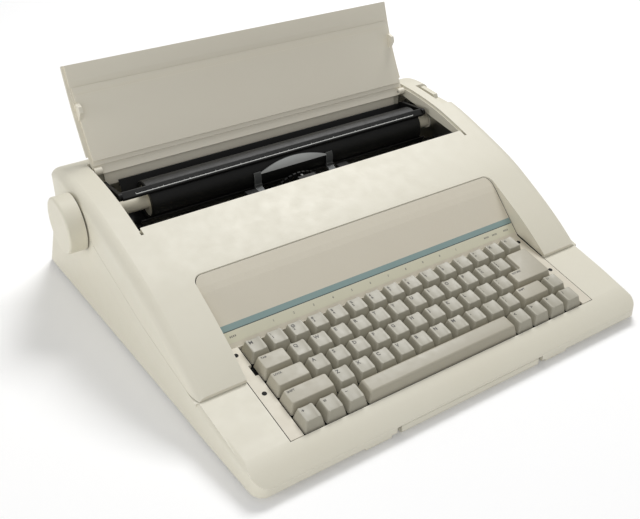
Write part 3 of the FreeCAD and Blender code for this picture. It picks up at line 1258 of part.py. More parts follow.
def hammer_solenoid():
    """Solenoid that drives the print hammer."""
    x = CARRIAGE_X
    body = box(x - 9.0, x + 9.0, 204.0, 228.0, 66.0, HAMMER_Z + 5.5)
    return body.cut(rod_y(x, 203.0, 229.0, HAMMER_Z, HAMMER_RADIUS + 0.06))


def print_hammer():
    """Round plunger of the print hammer, at rest clear of the wheel."""
    x = CARRIAGE_X
    tip = WHEEL_Y - WHEEL_THICKNESS / 2.0 - 0.3 - HAMMER_TRAVEL - 0.4
    shaft = rod_y(x, 207.0, tip - 3.0, HAMMER_Z, HAMMER_RADIUS)
    head = box(x - 1.0, x + 1.0, tip - 4.0, tip, HAMMER_Z - 2.5, HAMMER_Z + 2.5)
    return shaft.fuse(head)


def card_holder():
    """Curved card holder with its two legs."""
    x = CARRIAGE_X
    inner = PLATEN_RADIUS + CARD_GAP
    sheet = ring_sector(x - CARD_HALF_WIDTH - 5.0, x + CARD_HALF_WIDTH + 5.0, inner,
                        inner + CARD_THICKNESS, 130.0, 176.0)
    sagitta = CARD_TOP - CARD_BOTTOM
    arc_radius = (CARD_HALF_WIDTH ** 2 + sagitta ** 2) / (2.0 * sagitta)
    disc = rod_y(x, 235.0, 268.0, CARD_TOP - arc_radius, arc_radius)
    above = box(x - 60.0, x + 60.0, 235.0, 268.0, CARD_BOTTOM, 120.0)
    crescent = sheet.common(disc).common(above)
    legs = []
    for sign in (-1, 1):
        centre = x + sign * (CARD_HALF_WIDTH + 0.5)
        strip = ring_sector(centre - 3.5, centre + 3.5, inner, inner + CARD_THICKNESS,
                            158.0, 195.0)
        foot = side_prism([(246.2, 80.5), (247.8, 80.5), (247.8, 76.5), (227.0, 66.0),
                           (214.0, 66.0), (214.0, 68.0), (226.4, 68.0), (246.2, 78.0)],
                          centre - 3.5, centre + 3.5)
        legs.append(strip.fuse(foot))
    return joined([crescent] + legs)


def ribbon_cassette():
    """Ribbon cassette: flat box with an arm at each end, cut out for the hammer."""
    x = CARRIAGE_X
    half = CASSETTE_HALF_WIDTH
    body = box(x - 34.0, x + 34.0, 203.0, 229.0, 66.0, 79.0)
    wings = []
    for sign in (-1, 1):
        inner = x + sign * 44.5
        outer = x + sign * half
        wings.append(box(min(inner, outer), max(inner, outer), 203.0, 243.5, 66.0, 79.0))
        inner = x + sign * 33.0
        outer = x + sign * 46.0
        wings.append(box(min(inner, outer), max(inner, outer), 203.0, 212.0, 66.0, 79.0))
    slot = box(x - 9.6, x + 9.6, 200.0, 235.0, 60.0, 90.0)
    left_over = joined([body] + wings).cut(slot)
    bridge = box(x - 14.0, x + 14.0, 199.6, 203.4, 66.0, 79.0)
    return joined([left_over, bridge])


# ---------------------------------------------------------------- carriage drive

def pulley(x, bore):
    """Flanged belt pulley about an upright axis."""
    wheel = rod_z(x, BELT_Y, BELT_Z - BELT_HEIGHT / 2.0 - 0.5, BELT_Z + BELT_HEIGHT / 2.0 + 0.5,
                  PULLEY_RADIUS)
    low = BELT_Z - BELT_HEIGHT / 2.0 - 1.5
    high = BELT_Z + BELT_HEIGHT / 2.0 + 0.5
    flanges = [rod_z(x, BELT_Y, level, level + 1.0, PULLEY_RADIUS + 1.8) for level in (low, high)]
    return joined([wheel] + flanges).cut(rod_z(x, BELT_Y, 0.0, 90.0, bore))


def drive_pulley():
    """Pulley on the carriage motor's shaft."""
    return pulley(-PULLEY_X, MOTOR_SHAFT_RADIUS + PIN_CLEARANCE)


def idler_pulley():
    """Free pulley at the right end."""
    return pulley(PULLEY_X, IDLER_PIN_RADIUS + PIN_CLEARANCE)


def carriage_motor():
    """Carriage stepper under the drive pulley."""
    x = -PULLEY_X
    can = box(x - 16.0, x + 16.0, BELT_Y - 16.0, BELT_Y + 16.0, FLOOR + 2.0, CARRIAGE_MOTOR_TOP)
    can = can.makeChamfer(3.0, [edge for edge in can.Edges if edge.BoundBox.ZLength > 10.0])
    shaft = rod_z(x, BELT_Y, CARRIAGE_MOTOR_TOP - 1.0, BELT_Z + BELT_HEIGHT / 2.0 + 3.0,
                  MOTOR_SHAFT_RADIUS)
    foot = box(x - 16.0, x + 16.0, BELT_Y - 16.0, BELT_Y + 16.0, FLOOR, FLOOR + 2.0)
    return joined([can, shaft, foot])


def idler_bracket():
    """Post that carries the idler pulley's pin."""
    x = PULLEY_X
    base = box(x - 10.0, x + 10.0, BELT_Y - 10.0, BELT_Y + 10.0, FLOOR, FLOOR + 3.0)
    post = rod_z(x, BELT_Y, FLOOR, BELT_Z - BELT_HEIGHT / 2.0 - 1.7, 7.0)
    pin = rod_z(x, BELT_Y, FLOOR, BELT_Z + BELT_HEIGHT / 2.0 + 3.0, IDLER_PIN_RADIUS)
    return joined([base, post, pin])


def carriage_belt():
    """Drive belt, a flat loop round both pulleys."""
    inner = PULLEY_RADIUS + BELT_GAP
    low = BELT_Z - BELT_HEIGHT / 2.0
    high = BELT_Z + BELT_HEIGHT / 2.0

    def loop(radius, z0, z1):
        ends = [rod_z(x, BELT_Y, z0, z1, radius) for x in (-PULLEY_X, PULLEY_X)]
        middle = box(-PULLEY_X, PULLEY_X, BELT_Y - radius, BELT_Y + radius, z0, z1)
        return joined([middle] + ends)

    return loop(inner + BELT_THICKNESS, low, high).cut(loop(inner, low - 1.0, high + 1.0))


# ---------------------------------------------------------------- electrics and small parts

def main_board():
    """Main circuit board with its larger components."""
    board = box(-146.0, 62.0, 100.0, 172.0, MAIN_BOARD_Z, MAIN_BOARD_Z + 1.6)
    top = MAIN_BOARD_Z + 1.5
    parts = [box(-110.0, -72.0, 124.0, 138.0, top, top + 4.5),
             box(-60.0, -22.0, 124.0, 138.0, top, top + 4.5),
             box(-12.0, 26.0, 118.0, 132.0, top, top + 4.5),
             box(-132.0, -96.0, 150.0, 154.0, top, top + 9.0),
             box(10.0, 50.0, 152.0, 156.0, top, top + 9.0),
             box(40.0, 44.0, 112.0, 136.0, top, top + 16.0)]
    cans = [rod_z(x, y, top, top + 14.0, 5.0) for x, y in ((-84.0, 154.0), (-66.0, 154.0),
                                                          (-48.0, 154.0))]
    return joined([board] + parts + cans)


def transformer():
    """Mains transformer: laminated core and winding on a foot plate."""
    x = TRANSFORMER_X
    y = TRANSFORMER_Y
    foot = box(x - 34.0, x + 34.0, y - 18.0, y + 18.0, FLOOR, FLOOR + 2.0)
    core = box(x - 24.0, x + 24.0, y - 9.0, y + 9.0, FLOOR + 2.0, FLOOR + 42.0)
    coil = box(x - 15.0, x + 15.0, y - 17.0, y + 17.0, FLOOR + 8.0, FLOOR + 36.0)
    coil = coil.makeFillet(5.0, [edge for edge in coil.Edges if edge.BoundBox.ZLength > 10.0])
    return joined([foot, core, coil])


def rubber_feet():
    """Four feet, each with a plug through the floor."""
    feet = []
    for x, y in FOOT_PLACES:
        pad = Part.makeCone(FOOT_RADIUS - 1.0, FOOT_RADIUS, FLOOR_UNDERSIDE, V(x, y, 0.0))
        plug = rod_z(x, y, FLOOR_UNDERSIDE - 0.5, FLOOR + 0.6, FOOT_PLUG_RADIUS)
        feet.append(pad.fuse(plug))
    return group(feet)


def housing_screws():
    """Casing screws, from below through the lower bosses into the upper ones."""
    screws = []
    for x, y in SCREW_PLACES:
        head = rod_z(x, y, FLOOR_UNDERSIDE + 3.5, FLOOR_UNDERSIDE + 6.0, SCREW_HEAD_RADIUS)
        head = head.cut(box(x - 2.2, x + 2.2, y - 0.5, y + 0.5, FLOOR_UNDERSIDE + 3.0,
                            FLOOR_UNDERSIDE + 4.6))
        head = head.cut(box(x - 0.5, x + 0.5, y - 2.2, y + 2.2, FLOOR_UNDERSIDE + 3.0,
                            FLOOR_UNDERSIDE + 4.6))
        shank = rod_z(x, y, FLOOR_UNDERSIDE + 5.5, LOWER_POST_TOP + 12.0, SCREW_RADIUS)
        screws.append(head.fuse(shank))
    for x in (-STRIP_SCREW_X, STRIP_SCREW_X):
        for y in STRIP_SCREW_YS:
            screws.append(rod_z(x, y, deck_z(y) - STRIP_SCREW_LENGTH,
                                deck_z(y) - STRIP_SCREW_SINK, STRIP_SCREW_RADIUS))
    return group(screws)


def cord_gland():
    """Rubber gland in the rear wall, where the mains lead would leave."""
    sleeve = rod_y(GLAND_X, GLAND_Y - 10.0, GLAND_Y + 1.0, GLAND_Z, GLAND_RADIUS)
    collar = rod_y(GLAND_X, GLAND_Y - 11.5, GLAND_Y - 10.0, GLAND_Z, GLAND_RADIUS + 2.0)
    bore = rod_y(GLAND_X, GLAND_Y - 20.0, GLAND_Y + 2.0, GLAND_Z, GLAND_BORE_RADIUS)
    return sleeve.fuse(collar).cut(bore)


def power_switch():
    """Rocker of the mains switch, on its own short pivots."""
    half_x = SWITCH_WIDTH / 2.0
    half_z = SWITCH_HEIGHT / 2.0
    y = SWITCH_PIVOT_Y
    face = side_prism([(y - 3.0, SWITCH_Z - 3.0), (y + 4.0, SWITCH_Z - half_z + 1.2),
                       (y + 7.0, SWITCH_Z - half_z + 1.2), (y + 5.8, SWITCH_Z),
                       (y + 7.0, SWITCH_Z + half_z - 1.2), (y + 4.0, SWITCH_Z + half_z - 1.2),
                       (y - 3.0, SWITCH_Z + 3.0)], SWITCH_X - half_x, SWITCH_X + half_x)
    pins = rod_x(SWITCH_X - half_x - 3.0, SWITCH_X + half_x + 3.0, y, SWITCH_Z, SWITCH_PIN)
    return turned(face.fuse(pins), y, SWITCH_Z, -SWITCH_THROW / 2.0)


# ---------------------------------------------------------------- export

def all_nodes():
    """Every node of the machine, by name."""
    nodes = {name: group(caps) for name, caps in key_nodes()[0].items()}
    stems = key_nodes()[1]
    nodes["key_frame"] = key_frame(stems)
    nodes["dome_sheet"] = dome_sheet(stems)
    makers = (lower_housing, upper_housing, keyboard_panel, lid, lid_hinge_pins,
              platen_roller, platen_core, platen_shaft, platen_knob, platen_gear,
              platen_bushes, feed_motor, feed_pinion, feed_rollers, feed_roller_shaft,
              paper_pan, bail_bar, bail_arms, release_lever, side_plates, guide_rod, support_rail, carriage_frame, daisy_motor,
              daisy_wheel, hammer_solenoid, print_hammer, card_holder, ribbon_cassette,
              drive_pulley, idler_pulley, idler_bracket, carriage_motor, carriage_belt,
              keyboard_board, main_board, transformer, rubber_feet, housing_screws,
              carry_handle, cord_gland, power_switch)
    for maker in makers:
        nodes[maker.__name__] = maker()
    return nodes


os.makedirs("parts", exist_ok=True)
for node_name, node_shape in all_nodes().items():
    placed = node_shape.copy()
    placed.translate(V(-ORIGIN_X, -ORIGIN_Y, 0.0))
    placed.exportStep(os.path.join("parts", node_name + ".step"))
    print(node_name, len(placed.Solids), placed.isValid(), round(placed.Volume / 1000.0, 2))
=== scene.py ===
"""Portable daisy-wheel typewriter with its lid open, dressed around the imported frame.

Sizes in the classes are millimetres in the machine's own system: x across from
the middle of the keyboard, y back from the front of the keys, z up from the
desk. Bench turns them into the frame's metres.
"""
import json
import logging
import math
from collections.abc import Callable
from dataclasses import dataclass
from enum import Enum

import bmesh
import bpy
from mathutils import Matrix, Vector

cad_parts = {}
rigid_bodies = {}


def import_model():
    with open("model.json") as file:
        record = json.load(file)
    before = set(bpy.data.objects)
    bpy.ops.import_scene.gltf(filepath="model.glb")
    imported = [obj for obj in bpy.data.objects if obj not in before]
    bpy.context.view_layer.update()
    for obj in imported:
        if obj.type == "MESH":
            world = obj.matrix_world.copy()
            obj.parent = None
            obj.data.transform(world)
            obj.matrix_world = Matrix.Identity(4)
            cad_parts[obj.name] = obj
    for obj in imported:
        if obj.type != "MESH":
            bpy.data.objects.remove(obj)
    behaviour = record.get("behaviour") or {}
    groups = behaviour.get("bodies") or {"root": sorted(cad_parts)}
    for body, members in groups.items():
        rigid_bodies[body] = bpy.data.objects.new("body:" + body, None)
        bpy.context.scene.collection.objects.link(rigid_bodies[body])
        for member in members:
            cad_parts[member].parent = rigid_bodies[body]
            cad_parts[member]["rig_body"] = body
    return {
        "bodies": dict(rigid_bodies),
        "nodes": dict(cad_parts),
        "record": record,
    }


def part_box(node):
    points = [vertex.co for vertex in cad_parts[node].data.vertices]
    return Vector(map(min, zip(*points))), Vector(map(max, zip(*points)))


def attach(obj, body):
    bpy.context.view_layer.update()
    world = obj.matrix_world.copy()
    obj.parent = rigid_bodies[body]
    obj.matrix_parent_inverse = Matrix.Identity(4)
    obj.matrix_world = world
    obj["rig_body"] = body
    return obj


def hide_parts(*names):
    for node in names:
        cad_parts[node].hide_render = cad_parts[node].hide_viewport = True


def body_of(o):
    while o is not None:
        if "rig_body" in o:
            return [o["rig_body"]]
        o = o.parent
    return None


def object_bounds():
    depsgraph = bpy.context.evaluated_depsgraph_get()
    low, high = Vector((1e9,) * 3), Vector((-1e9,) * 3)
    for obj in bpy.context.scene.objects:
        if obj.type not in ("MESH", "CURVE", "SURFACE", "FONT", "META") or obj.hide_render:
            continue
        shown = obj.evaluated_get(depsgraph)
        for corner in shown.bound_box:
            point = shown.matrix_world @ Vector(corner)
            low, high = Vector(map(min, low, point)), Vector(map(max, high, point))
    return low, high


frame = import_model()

LOG = logging.getLogger("typewriter")
MM = 0.001
CAD_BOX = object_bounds()
Point = tuple[float, float, float]
Colour = tuple[float, float, float]

PITCH = 19.05                 # from key to key, along and across
DECK_FRONT = 22.4             # height of the key deck at its front
DECK_TILT = 9.4               # slope of the key deck, in degrees
PLATEN_AXIS = (268.0, 84.0)   # y and z of the platen's axis
SINGLE_KEY = 1.01             # a key under this many pitches wide is a single one


# ---------------------------------------------------------------- bench

@dataclass(frozen=True)
class Bench:
    """Where the machine's own zero lies in the frame."""

    roller_centre: Point = (10.0, *PLATEN_AXIS)

    def offset(self) -> Vector:
        """Step from the machine's zero to the frame's zero, in metres."""
        low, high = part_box("platen_roller")
        return (low + high) / 2.0 - Vector(self.roller_centre) * MM

    def matrix(self) -> Matrix:
        """Turns machine millimetres into frame metres."""
        return Matrix.Translation(self.offset()) @ Matrix.Scale(MM, 4)

    def point(self, x: float, y: float, z: float) -> Vector:
        """One machine point in the frame, in metres."""
        return self.matrix() @ Vector((x, y, z))


BENCH = Bench()


def frame_about(origin: Point, along_y: Point, along_z: Point) -> Matrix:
    """Matrix of a local system whose x runs across the machine.

    Args:
        origin: where the local zero lies, in machine millimetres.
        along_y: direction of the local y axis.
        along_z: direction of the local z axis.

    Returns:
        Matrix from local millimetres to machine millimetres.
    """
    axis_y = Vector(along_y).normalized()
    axis_z = Vector(along_z).normalized()
    axis_x = axis_y.cross(axis_z)
    turn = Matrix((axis_x, axis_y, axis_z)).transposed().to_4x4()
    return Matrix.Translation(Vector(origin)) @ turn


def linear(red: float, green: float, blue: float) -> Colour:
    """Linear colour of a display colour given in 0 to 255."""
    def one(value: float) -> float:
        """Linear share of one channel."""
        share = value / 255.0
        return share / 12.92 if share <= 0.04045 else ((share + 0.055) / 1.055) ** 2.4
    return one(red), one(green), one(blue)


# ---------------------------------------------------------------- node groups

class Wiring:
    """Places and joins the nodes of one tree."""

    MIX_INPUTS = (0, 6, 7)   # factor, first and second colour of a Mix node
    MIX_RESULT = 2

    def __init__(self, tree: bpy.types.NodeTree) -> None:
        """Starts on an empty tree."""
        self.tree = tree
        tree.nodes.clear()

    def add(self, kind: str, **settings: object) -> bpy.types.Node:
        """Adds a node and sets its properties.

        Args:
            kind: the node's type name.
            settings: property names and values.

        Returns:
            The new node.
        """
        node = self.tree.nodes.new(kind)
        for key, value in settings.items():
            setattr(node, key, value)
        return node

    def join(self, start: bpy.types.NodeSocket, end: bpy.types.NodeSocket) -> None:
        """Links an output to an input."""
        self.tree.links.new(start, end)

    def math(self, operation: str, first: object, second: object,
             clamp: bool = False) -> bpy.types.NodeSocket:
        """Math node on two sockets or numbers.

        Args:
            operation: the node's operation name.
            first: socket or number.
            second: socket or number.
            clamp: keep the result between 0 and 1.

        Returns:
            The result's socket.
        """
        node = self.add("ShaderNodeMath", operation=operation, use_clamp=clamp)
        for socket, value in zip(node.inputs, (first, second)):
            if isinstance(value, bpy.types.NodeSocket):
                self.join(value, socket)
            else:
                socket.default_value = value
        return node.outputs[0]

    def mix(self, factor: object, first: object, second: object) -> bpy.types.NodeSocket:
        """Colour mix of two sockets or colours.

        Args:
            factor: socket or number.
            first: socket or colour.
            second: socket or colour.

        Returns:
            The mixed colour's socket.
        """
        node = self.add("ShaderNodeMix", data_type="RGBA", blend_type="MIX")
        for index, value in zip(self.MIX_INPUTS, (factor, first, second)):
            socket = node.inputs[index]
            if isinstance(value, bpy.types.NodeSocket):
                self.join(value, socket)
            elif isinstance(value, (int, float)):
                socket.default_value = value
            else:
                socket.default_value = (*value, 1.0)
        return node.outputs[self.MIX_RESULT]


class Side(Enum):
    """Which way a group's socket faces."""

    IN = "INPUT"
    OUT = "OUTPUT"


class SharedGroups:
    """Effects that several finishes use, each built once."""

    def __init__(self) -> None:
        """Builds every group."""
        self.grain = self._grain()
        self.drift = self._drift()
        self.wear = self._wear()
        self.dust = self._dust()
        self.brushed = self._brushed()

    @staticmethod
    def _start(name: str, sockets: tuple[tuple[str, Side, str, float], ...]
               ) -> tuple[Wiring, bpy.types.Node, bpy.types.Node]:
        """New group with its named sockets.

        Args:
            name: the group's name.
            sockets: name, side, kind and default of each socket.

        Returns:
            The wiring, the group's input node and its output node.
        """
        tree = bpy.data.node_groups.new(name, "ShaderNodeTree")
        wiring = Wiring(tree)
        for title, side, kind, default in sockets:
            socket = tree.interface.new_socket(name=title, in_out=side.value, socket_type=kind)
            if kind == "NodeSocketFloat":
                socket.default_value = default
        return wiring, wiring.add("NodeGroupInput"), wiring.add("NodeGroupOutput")

    @staticmethod
    def _noise(wiring: Wiring, scale: object, detail: float,
               vector: bpy.types.NodeSocket | None = None) -> bpy.types.NodeSocket:
        """Noise from 0 to 1.

        Args:
            wiring: the tree that takes it.
            scale: socket or number, in waves a metre.
            detail: how many finer layers it has.
            vector: where it is read, or None for object coordinates.

        Returns:
            The noise's socket.
        """
        node = wiring.add("ShaderNodeTexNoise")
        node.inputs["Detail"].default_value = detail
        node.inputs["Roughness"].default_value = 0.55
        if vector is None:
            vector = wiring.add("ShaderNodeTexCoord").outputs["Object"]
        wiring.join(vector, node.inputs["Vector"])
        if isinstance(scale, bpy.types.NodeSocket):
            wiring.join(scale, node.inputs["Scale"])
        else:
            node.inputs["Scale"].default_value = scale
        return node.outputs[0]

    def _grain(self) -> bpy.types.NodeTree:
        """Fine moulded grain: small rounded cells over a soft unevenness.

        Returns:
            The group.
        """
        wiring, start, end = self._start("moulded_grain", (
            ("Scale", Side.IN, "NodeSocketFloat", 900.0),
            ("Height", Side.OUT, "NodeSocketFloat", 0.0),
            ("Mask", Side.OUT, "NodeSocketFloat", 0.0)))
        cells = wiring.add("ShaderNodeTexVoronoi", feature="SMOOTH_F1")
        wiring.join(wiring.add("ShaderNodeTexCoord").outputs["Object"], cells.inputs["Vector"])
        wiring.join(start.outputs["Scale"], cells.inputs["Scale"])
        fine = self._noise(wiring, start.outputs["Scale"], 4.0)
        broad = self._noise(wiring, wiring.math("MULTIPLY", start.outputs["Scale"], 0.06), 3.0)
        height = wiring.math("ADD", wiring.math("MULTIPLY", cells.outputs[0], 0.5), fine)
        wiring.join(height, end.inputs["Height"])
        mask = wiring.math("MULTIPLY", wiring.math("SUBTRACT", broad, 0.3), 2.2, True)
        wiring.join(mask, end.inputs["Mask"])
        return wiring.tree

    def _drift(self) -> bpy.types.NodeTree:
        """Slow change of colour over a moulding, as old plastic has.

        Returns:
            The group.
        """
        wiring, start, end = self._start("aged_drift", (
            ("Colour", Side.IN, "NodeSocketColor", 0.0),
            ("Aged", Side.IN, "NodeSocketColor", 0.0),
            ("Scale", Side.IN, "NodeSocketFloat", 6.0),
            ("Amount", Side.IN, "NodeSocketFloat", 0.6),
            ("Result", Side.OUT, "NodeSocketColor", 0.0)))
        broad = self._noise(wiring, start.outputs["Scale"], 3.0)
        spots = self._noise(wiring, wiring.math("MULTIPLY", start.outputs["Scale"], 28.0), 2.0)
        both = wiring.math("ADD", wiring.math("MULTIPLY", broad, 1.6),
                           wiring.math("MULTIPLY", spots, 0.4))
        share = wiring.math("MULTIPLY", wiring.math("SUBTRACT", both, 0.6, True),
                            start.outputs["Amount"], True)
        wiring.join(wiring.mix(share, start.outputs["Colour"], start.outputs["Aged"]),
                    end.inputs["Result"])
        return wiring.tree

    def _wear(self) -> bpy.types.NodeTree:
        """Mask of the edges that hands and cloths rub.

        Returns:
            The group.
        """
        wiring, start, end = self._start("edge_wear", (
            ("Radius", Side.IN, "NodeSocketFloat", 0.0008),
            ("Amount", Side.IN, "NodeSocketFloat", 0.5),
            ("Mask", Side.OUT, "NodeSocketFloat", 0.0)))
        soft = wiring.add("ShaderNodeBevel", samples=4)
        wiring.join(start.outputs["Radius"], soft.inputs["Radius"])
        plain = wiring.add("ShaderNodeNewGeometry")
        dot = wiring.add("ShaderNodeVectorMath", operation="DOT_PRODUCT")
        wiring.join(soft.outputs[0], dot.inputs[0])
        wiring.join(plain.outputs["Normal"], dot.inputs[1])
        turned = wiring.math("SUBTRACT", 1.0, dot.outputs["Value"])
        rubbed = wiring.math("MULTIPLY", turned, self._noise(wiring, 160.0, 3.0))
        lifted = wiring.math("MULTIPLY", rubbed, 8.0, True)
        wiring.join(wiring.math("MULTIPLY", lifted, start.outputs["Amount"], True),
                    end.inputs["Mask"])
        return wiring.tree

    def _dust(self) -> bpy.types.NodeTree:
        """Mask of the thin dust on faces that look up.

        Returns:
            The group.
        """
        wiring, start, end = self._start("settled_dust", (
            ("Amount", Side.IN, "NodeSocketFloat", 0.2),
            ("Mask", Side.OUT, "NodeSocketFloat", 0.0)))
        split = wiring.add("ShaderNodeSeparateXYZ")
        wiring.join(wiring.add("ShaderNodeNewGeometry").outputs["Normal"], split.inputs[0])
        facing = wiring.math("SUBTRACT", split.outputs["Z"], 0.35, True)
        cloudy = wiring.math("SUBTRACT", self._noise(wiring, 70.0, 5.0), 0.35, True)
        both = wiring.math("MULTIPLY", facing, wiring.math("MULTIPLY", cloudy, 4.0))
        wiring.join(wiring.math("MULTIPLY", both, start.outputs["Amount"], True),
                    end.inputs["Mask"])
        return wiring.tree

    def _brushed(self) -> bpy.types.NodeTree:
        """Fine marks that run along x, from drawing, turning or grinding.

        Returns:
            The group.
        """
        wiring, start, end = self._start("brushed_marks", (
            ("Scale", Side.IN, "NodeSocketFloat", 600.0),
            ("Height", Side.OUT, "NodeSocketFloat", 0.0),
            ("Mask", Side.OUT, "NodeSocketFloat", 0.0)))
        stretch = wiring.add("ShaderNodeMapping")
        stretch.inputs["Scale"].default_value = (0.04, 1.0, 1.0)
        wiring.join(wiring.add("ShaderNodeTexCoord").outputs["Object"], stretch.inputs["Vector"])
        lines = self._noise(wiring, start.outputs["Scale"], 3.0, stretch.outputs[0])
        wiring.join(lines, end.inputs["Height"])
        cloudy = self._noise(wiring, 45.0, 3.0)
        wiring.join(wiring.math("MULTIPLY", lines, cloudy), end.inputs["Mask"])
        return wiring.tree


# ---------------------------------------------------------------- finishes

class Texture(Enum):
    """Kinds of surface texture."""

    MOULDED = "moulded"
    BRUSHED = "brushed"


DUST_COLOUR: Colour = (214.0, 210.0, 200.0)
DUST_ROUGHNESS = 0.3
BUMP_STRENGTH = 0.6


@dataclass(frozen=True)
class Finish:
    """One surface finish.

    Colours are display colours in 0 to 255. Grain is in cells a metre, depth is
    the height of the grain in metres.
    """

    name: str
    colour: Colour
    aged: Colour
    roughness: float = 0.5
    spread: float = 0.12
    metallic: float = 0.0
    texture: Texture = Texture.MOULDED
    grain: float = 1400.0
    depth: float = 0.00003
    drift: float = 5.0
    ageing: float = 0.7
    wear: float = 0.35
    worn: Colour = (240.0, 236.0, 226.0)
    dust: float = 0.06
    shine: float = 0.5

    def material(self, groups: SharedGroups) -> bpy.types.Material:
        """Builds the finish's material.

        Args:
            groups: the shared node groups.

        Returns:
            The new material.
        """
        material = bpy.data.materials.new(self.name)
        material.use_nodes = True
        wiring = Wiring(material.node_tree)
        output = wiring.add("ShaderNodeOutputMaterial")
        shader = wiring.add("ShaderNodeBsdfPrincipled")
        wiring.join(shader.outputs[0], output.inputs["Surface"])
        shader.inputs["Metallic"].default_value = self.metallic
        shader.inputs["Specular IOR Level"].default_value = self.shine

        def group(tree: bpy.types.NodeTree, **values: float) -> bpy.types.Node:
            """Places a shared group.

            Args:
                tree: the group.
                values: names and values of its inputs.

            Returns:
                The group's node.
            """
            node = wiring.add("ShaderNodeGroup", node_tree=tree)
            for key, value in values.items():
                node.inputs[key].default_value = value
            return node

        tree = groups.grain if self.texture is Texture.MOULDED else groups.brushed
        grain = group(tree, Scale=self.grain)
        drift = group(groups.drift, Scale=self.drift, Amount=self.ageing,
                      Colour=(*linear(*self.colour), 1.0), Aged=(*linear(*self.aged), 1.0))
        wear = group(groups.wear, Amount=self.wear)
        dust = group(groups.dust, Amount=self.dust)
        rubbed = wiring.mix(wear.outputs["Mask"], drift.outputs["Result"], linear(*self.worn))
        dusty = wiring.mix(dust.outputs["Mask"], rubbed, linear(*DUST_COLOUR))
        wiring.join(dusty, shader.inputs["Base Color"])
        rough = wiring.math("MULTIPLY", grain.outputs["Mask"], self.spread)
        rough = wiring.math("ADD", rough, self.roughness - self.spread / 2.0)
        dull = wiring.math("MULTIPLY", dust.outputs["Mask"], DUST_ROUGHNESS)
        rough = wiring.math("ADD", rough, dull, True)
        wiring.join(rough, shader.inputs["Roughness"])
        bump = wiring.add("ShaderNodeBump")
        bump.inputs["Strength"].default_value = BUMP_STRENGTH
        bump.inputs["Distance"].default_value = self.depth
        wiring.join(grain.outputs["Height"], bump.inputs["Height"])
        wiring.join(bump.outputs[0], shader.inputs["Normal"])
        return material


FINISHES: dict[str, Finish] = {finish.name: finish for finish in (
    Finish("casing_plastic", (219, 215, 199), (214, 208, 189)),
    Finish("panel_plastic", (213, 207, 190), (209, 199, 181)),
    Finish("lid_plastic", (223, 218, 202), (221, 213, 196)),
    Finish("key_plastic", (168, 164, 149), (160, 155, 139), roughness=0.45, grain=2600.0),
    Finish("wide_key_plastic", (172, 167, 150), (166, 159, 142), roughness=0.45, grain=2600.0),
    Finish("knob_plastic", (219, 215, 198), (212, 205, 186)),
    Finish("inner_plastic", (30, 30, 28), (22, 22, 21), wear=0.05, dust=0.02),
    Finish("core_plastic", (226, 220, 200), (215, 205, 180), wear=0.1),
    Finish("gear_plastic", (228, 225, 212), (216, 210, 190), roughness=0.4, wear=0.1),
    Finish("black_plastic", (18, 18, 19), (24, 24, 24), roughness=0.42, wear=0.15,
           worn=(74, 74, 76), dust=0.03, shine=0.3),
    Finish("switch_plastic", (40, 40, 42), (34, 34, 36), worn=(84, 84, 86)),
    Finish("bush_plastic", (222, 218, 205), (208, 200, 180), roughness=0.35),
    Finish("platen_rubber", (13, 13, 12), (19, 19, 17), roughness=0.5, grain=2200.0,
           worn=(60, 60, 58), wear=0.1, dust=0.01, shine=0.35),
    Finish("feet_rubber", (44, 43, 42), (54, 52, 50), roughness=0.8, worn=(96, 94, 92),
           grain=900.0, depth=0.00008),
    Finish("feed_rubber", (40, 40, 40), (50, 49, 48), roughness=0.75, worn=(80, 80, 80)),
    Finish("dome_rubber", (150, 148, 144), (138, 135, 130), roughness=0.7),
    Finish("belt_rubber", (34, 34, 34), (44, 43, 42), roughness=0.8, worn=(78, 78, 78)),
    Finish("gland_rubber", (42, 41, 40), (52, 50, 48), roughness=0.75, worn=(86, 85, 84)),
    Finish("bright_steel", (196, 196, 196), (180, 180, 182), roughness=0.24, metallic=1.0,
           texture=Texture.BRUSHED, depth=0.00001, worn=(214, 214, 214), ageing=0.4),
    Finish("plated_steel", (180, 180, 176), (160, 161, 160), roughness=0.36, metallic=1.0,
           texture=Texture.BRUSHED, depth=0.00002, worn=(206, 206, 204)),
    Finish("black_steel", (11, 11, 11), (17, 17, 16), roughness=0.42,
           grain=1800.0, worn=(84, 84, 84), wear=0.2, dust=0.015, shine=0.22),
    Finish("motor_steel", (150, 150, 148), (132, 132, 131), roughness=0.38, metallic=1.0,
           texture=Texture.BRUSHED, depth=0.00002, worn=(190, 190, 188)),
    Finish("core_steel", (120, 118, 114), (104, 101, 96), roughness=0.5, metallic=1.0,
           texture=Texture.BRUSHED, depth=0.00004, worn=(160, 160, 158)),
    Finish("silver_face", (186, 188, 186), (160, 163, 162), roughness=0.4, metallic=0.1,
           texture=Texture.BRUSHED, depth=0.00001, worn=(214, 214, 212), dust=0.02),
    Finish("card_metal", (92, 94, 93), (78, 80, 80), roughness=0.4, metallic=0.3,
           texture=Texture.BRUSHED, depth=0.00001, worn=(196, 196, 194), dust=0.02),
    Finish("board_laminate", (150, 130, 84), (130, 110, 66), roughness=0.45, wear=0.1),
    # Near-black finish for painted shade: the strip under the panel joint and the discs in the
    # screw holes.
    Finish("painted_shade_black", (8, 8, 7), (14, 13, 12), roughness=0.8, wear=0.0, dust=0.0),
    Finish("stripe_ink", (137, 160, 158), (130, 152, 150), roughness=0.5, wear=0.0, dust=0.05),
    Finish("line_ink", (62, 74, 76), (70, 82, 84), roughness=0.5, wear=0.0, dust=0.02),
    Finish("scale_ink", (214, 211, 189), (208, 204, 180), roughness=0.5, wear=0.0, dust=0.05),
    Finish("legend_ink", (52, 50, 48), (66, 63, 60), roughness=0.55, wear=0.0, dust=0.05),
    Finish("mark_ink", (122, 120, 112), (136, 133, 124), roughness=0.55, wear=0.0, dust=0.05),
    Finish("white_ink", (214, 216, 212), (196, 198, 194), roughness=0.5, wear=0.0, dust=0.05),
)}


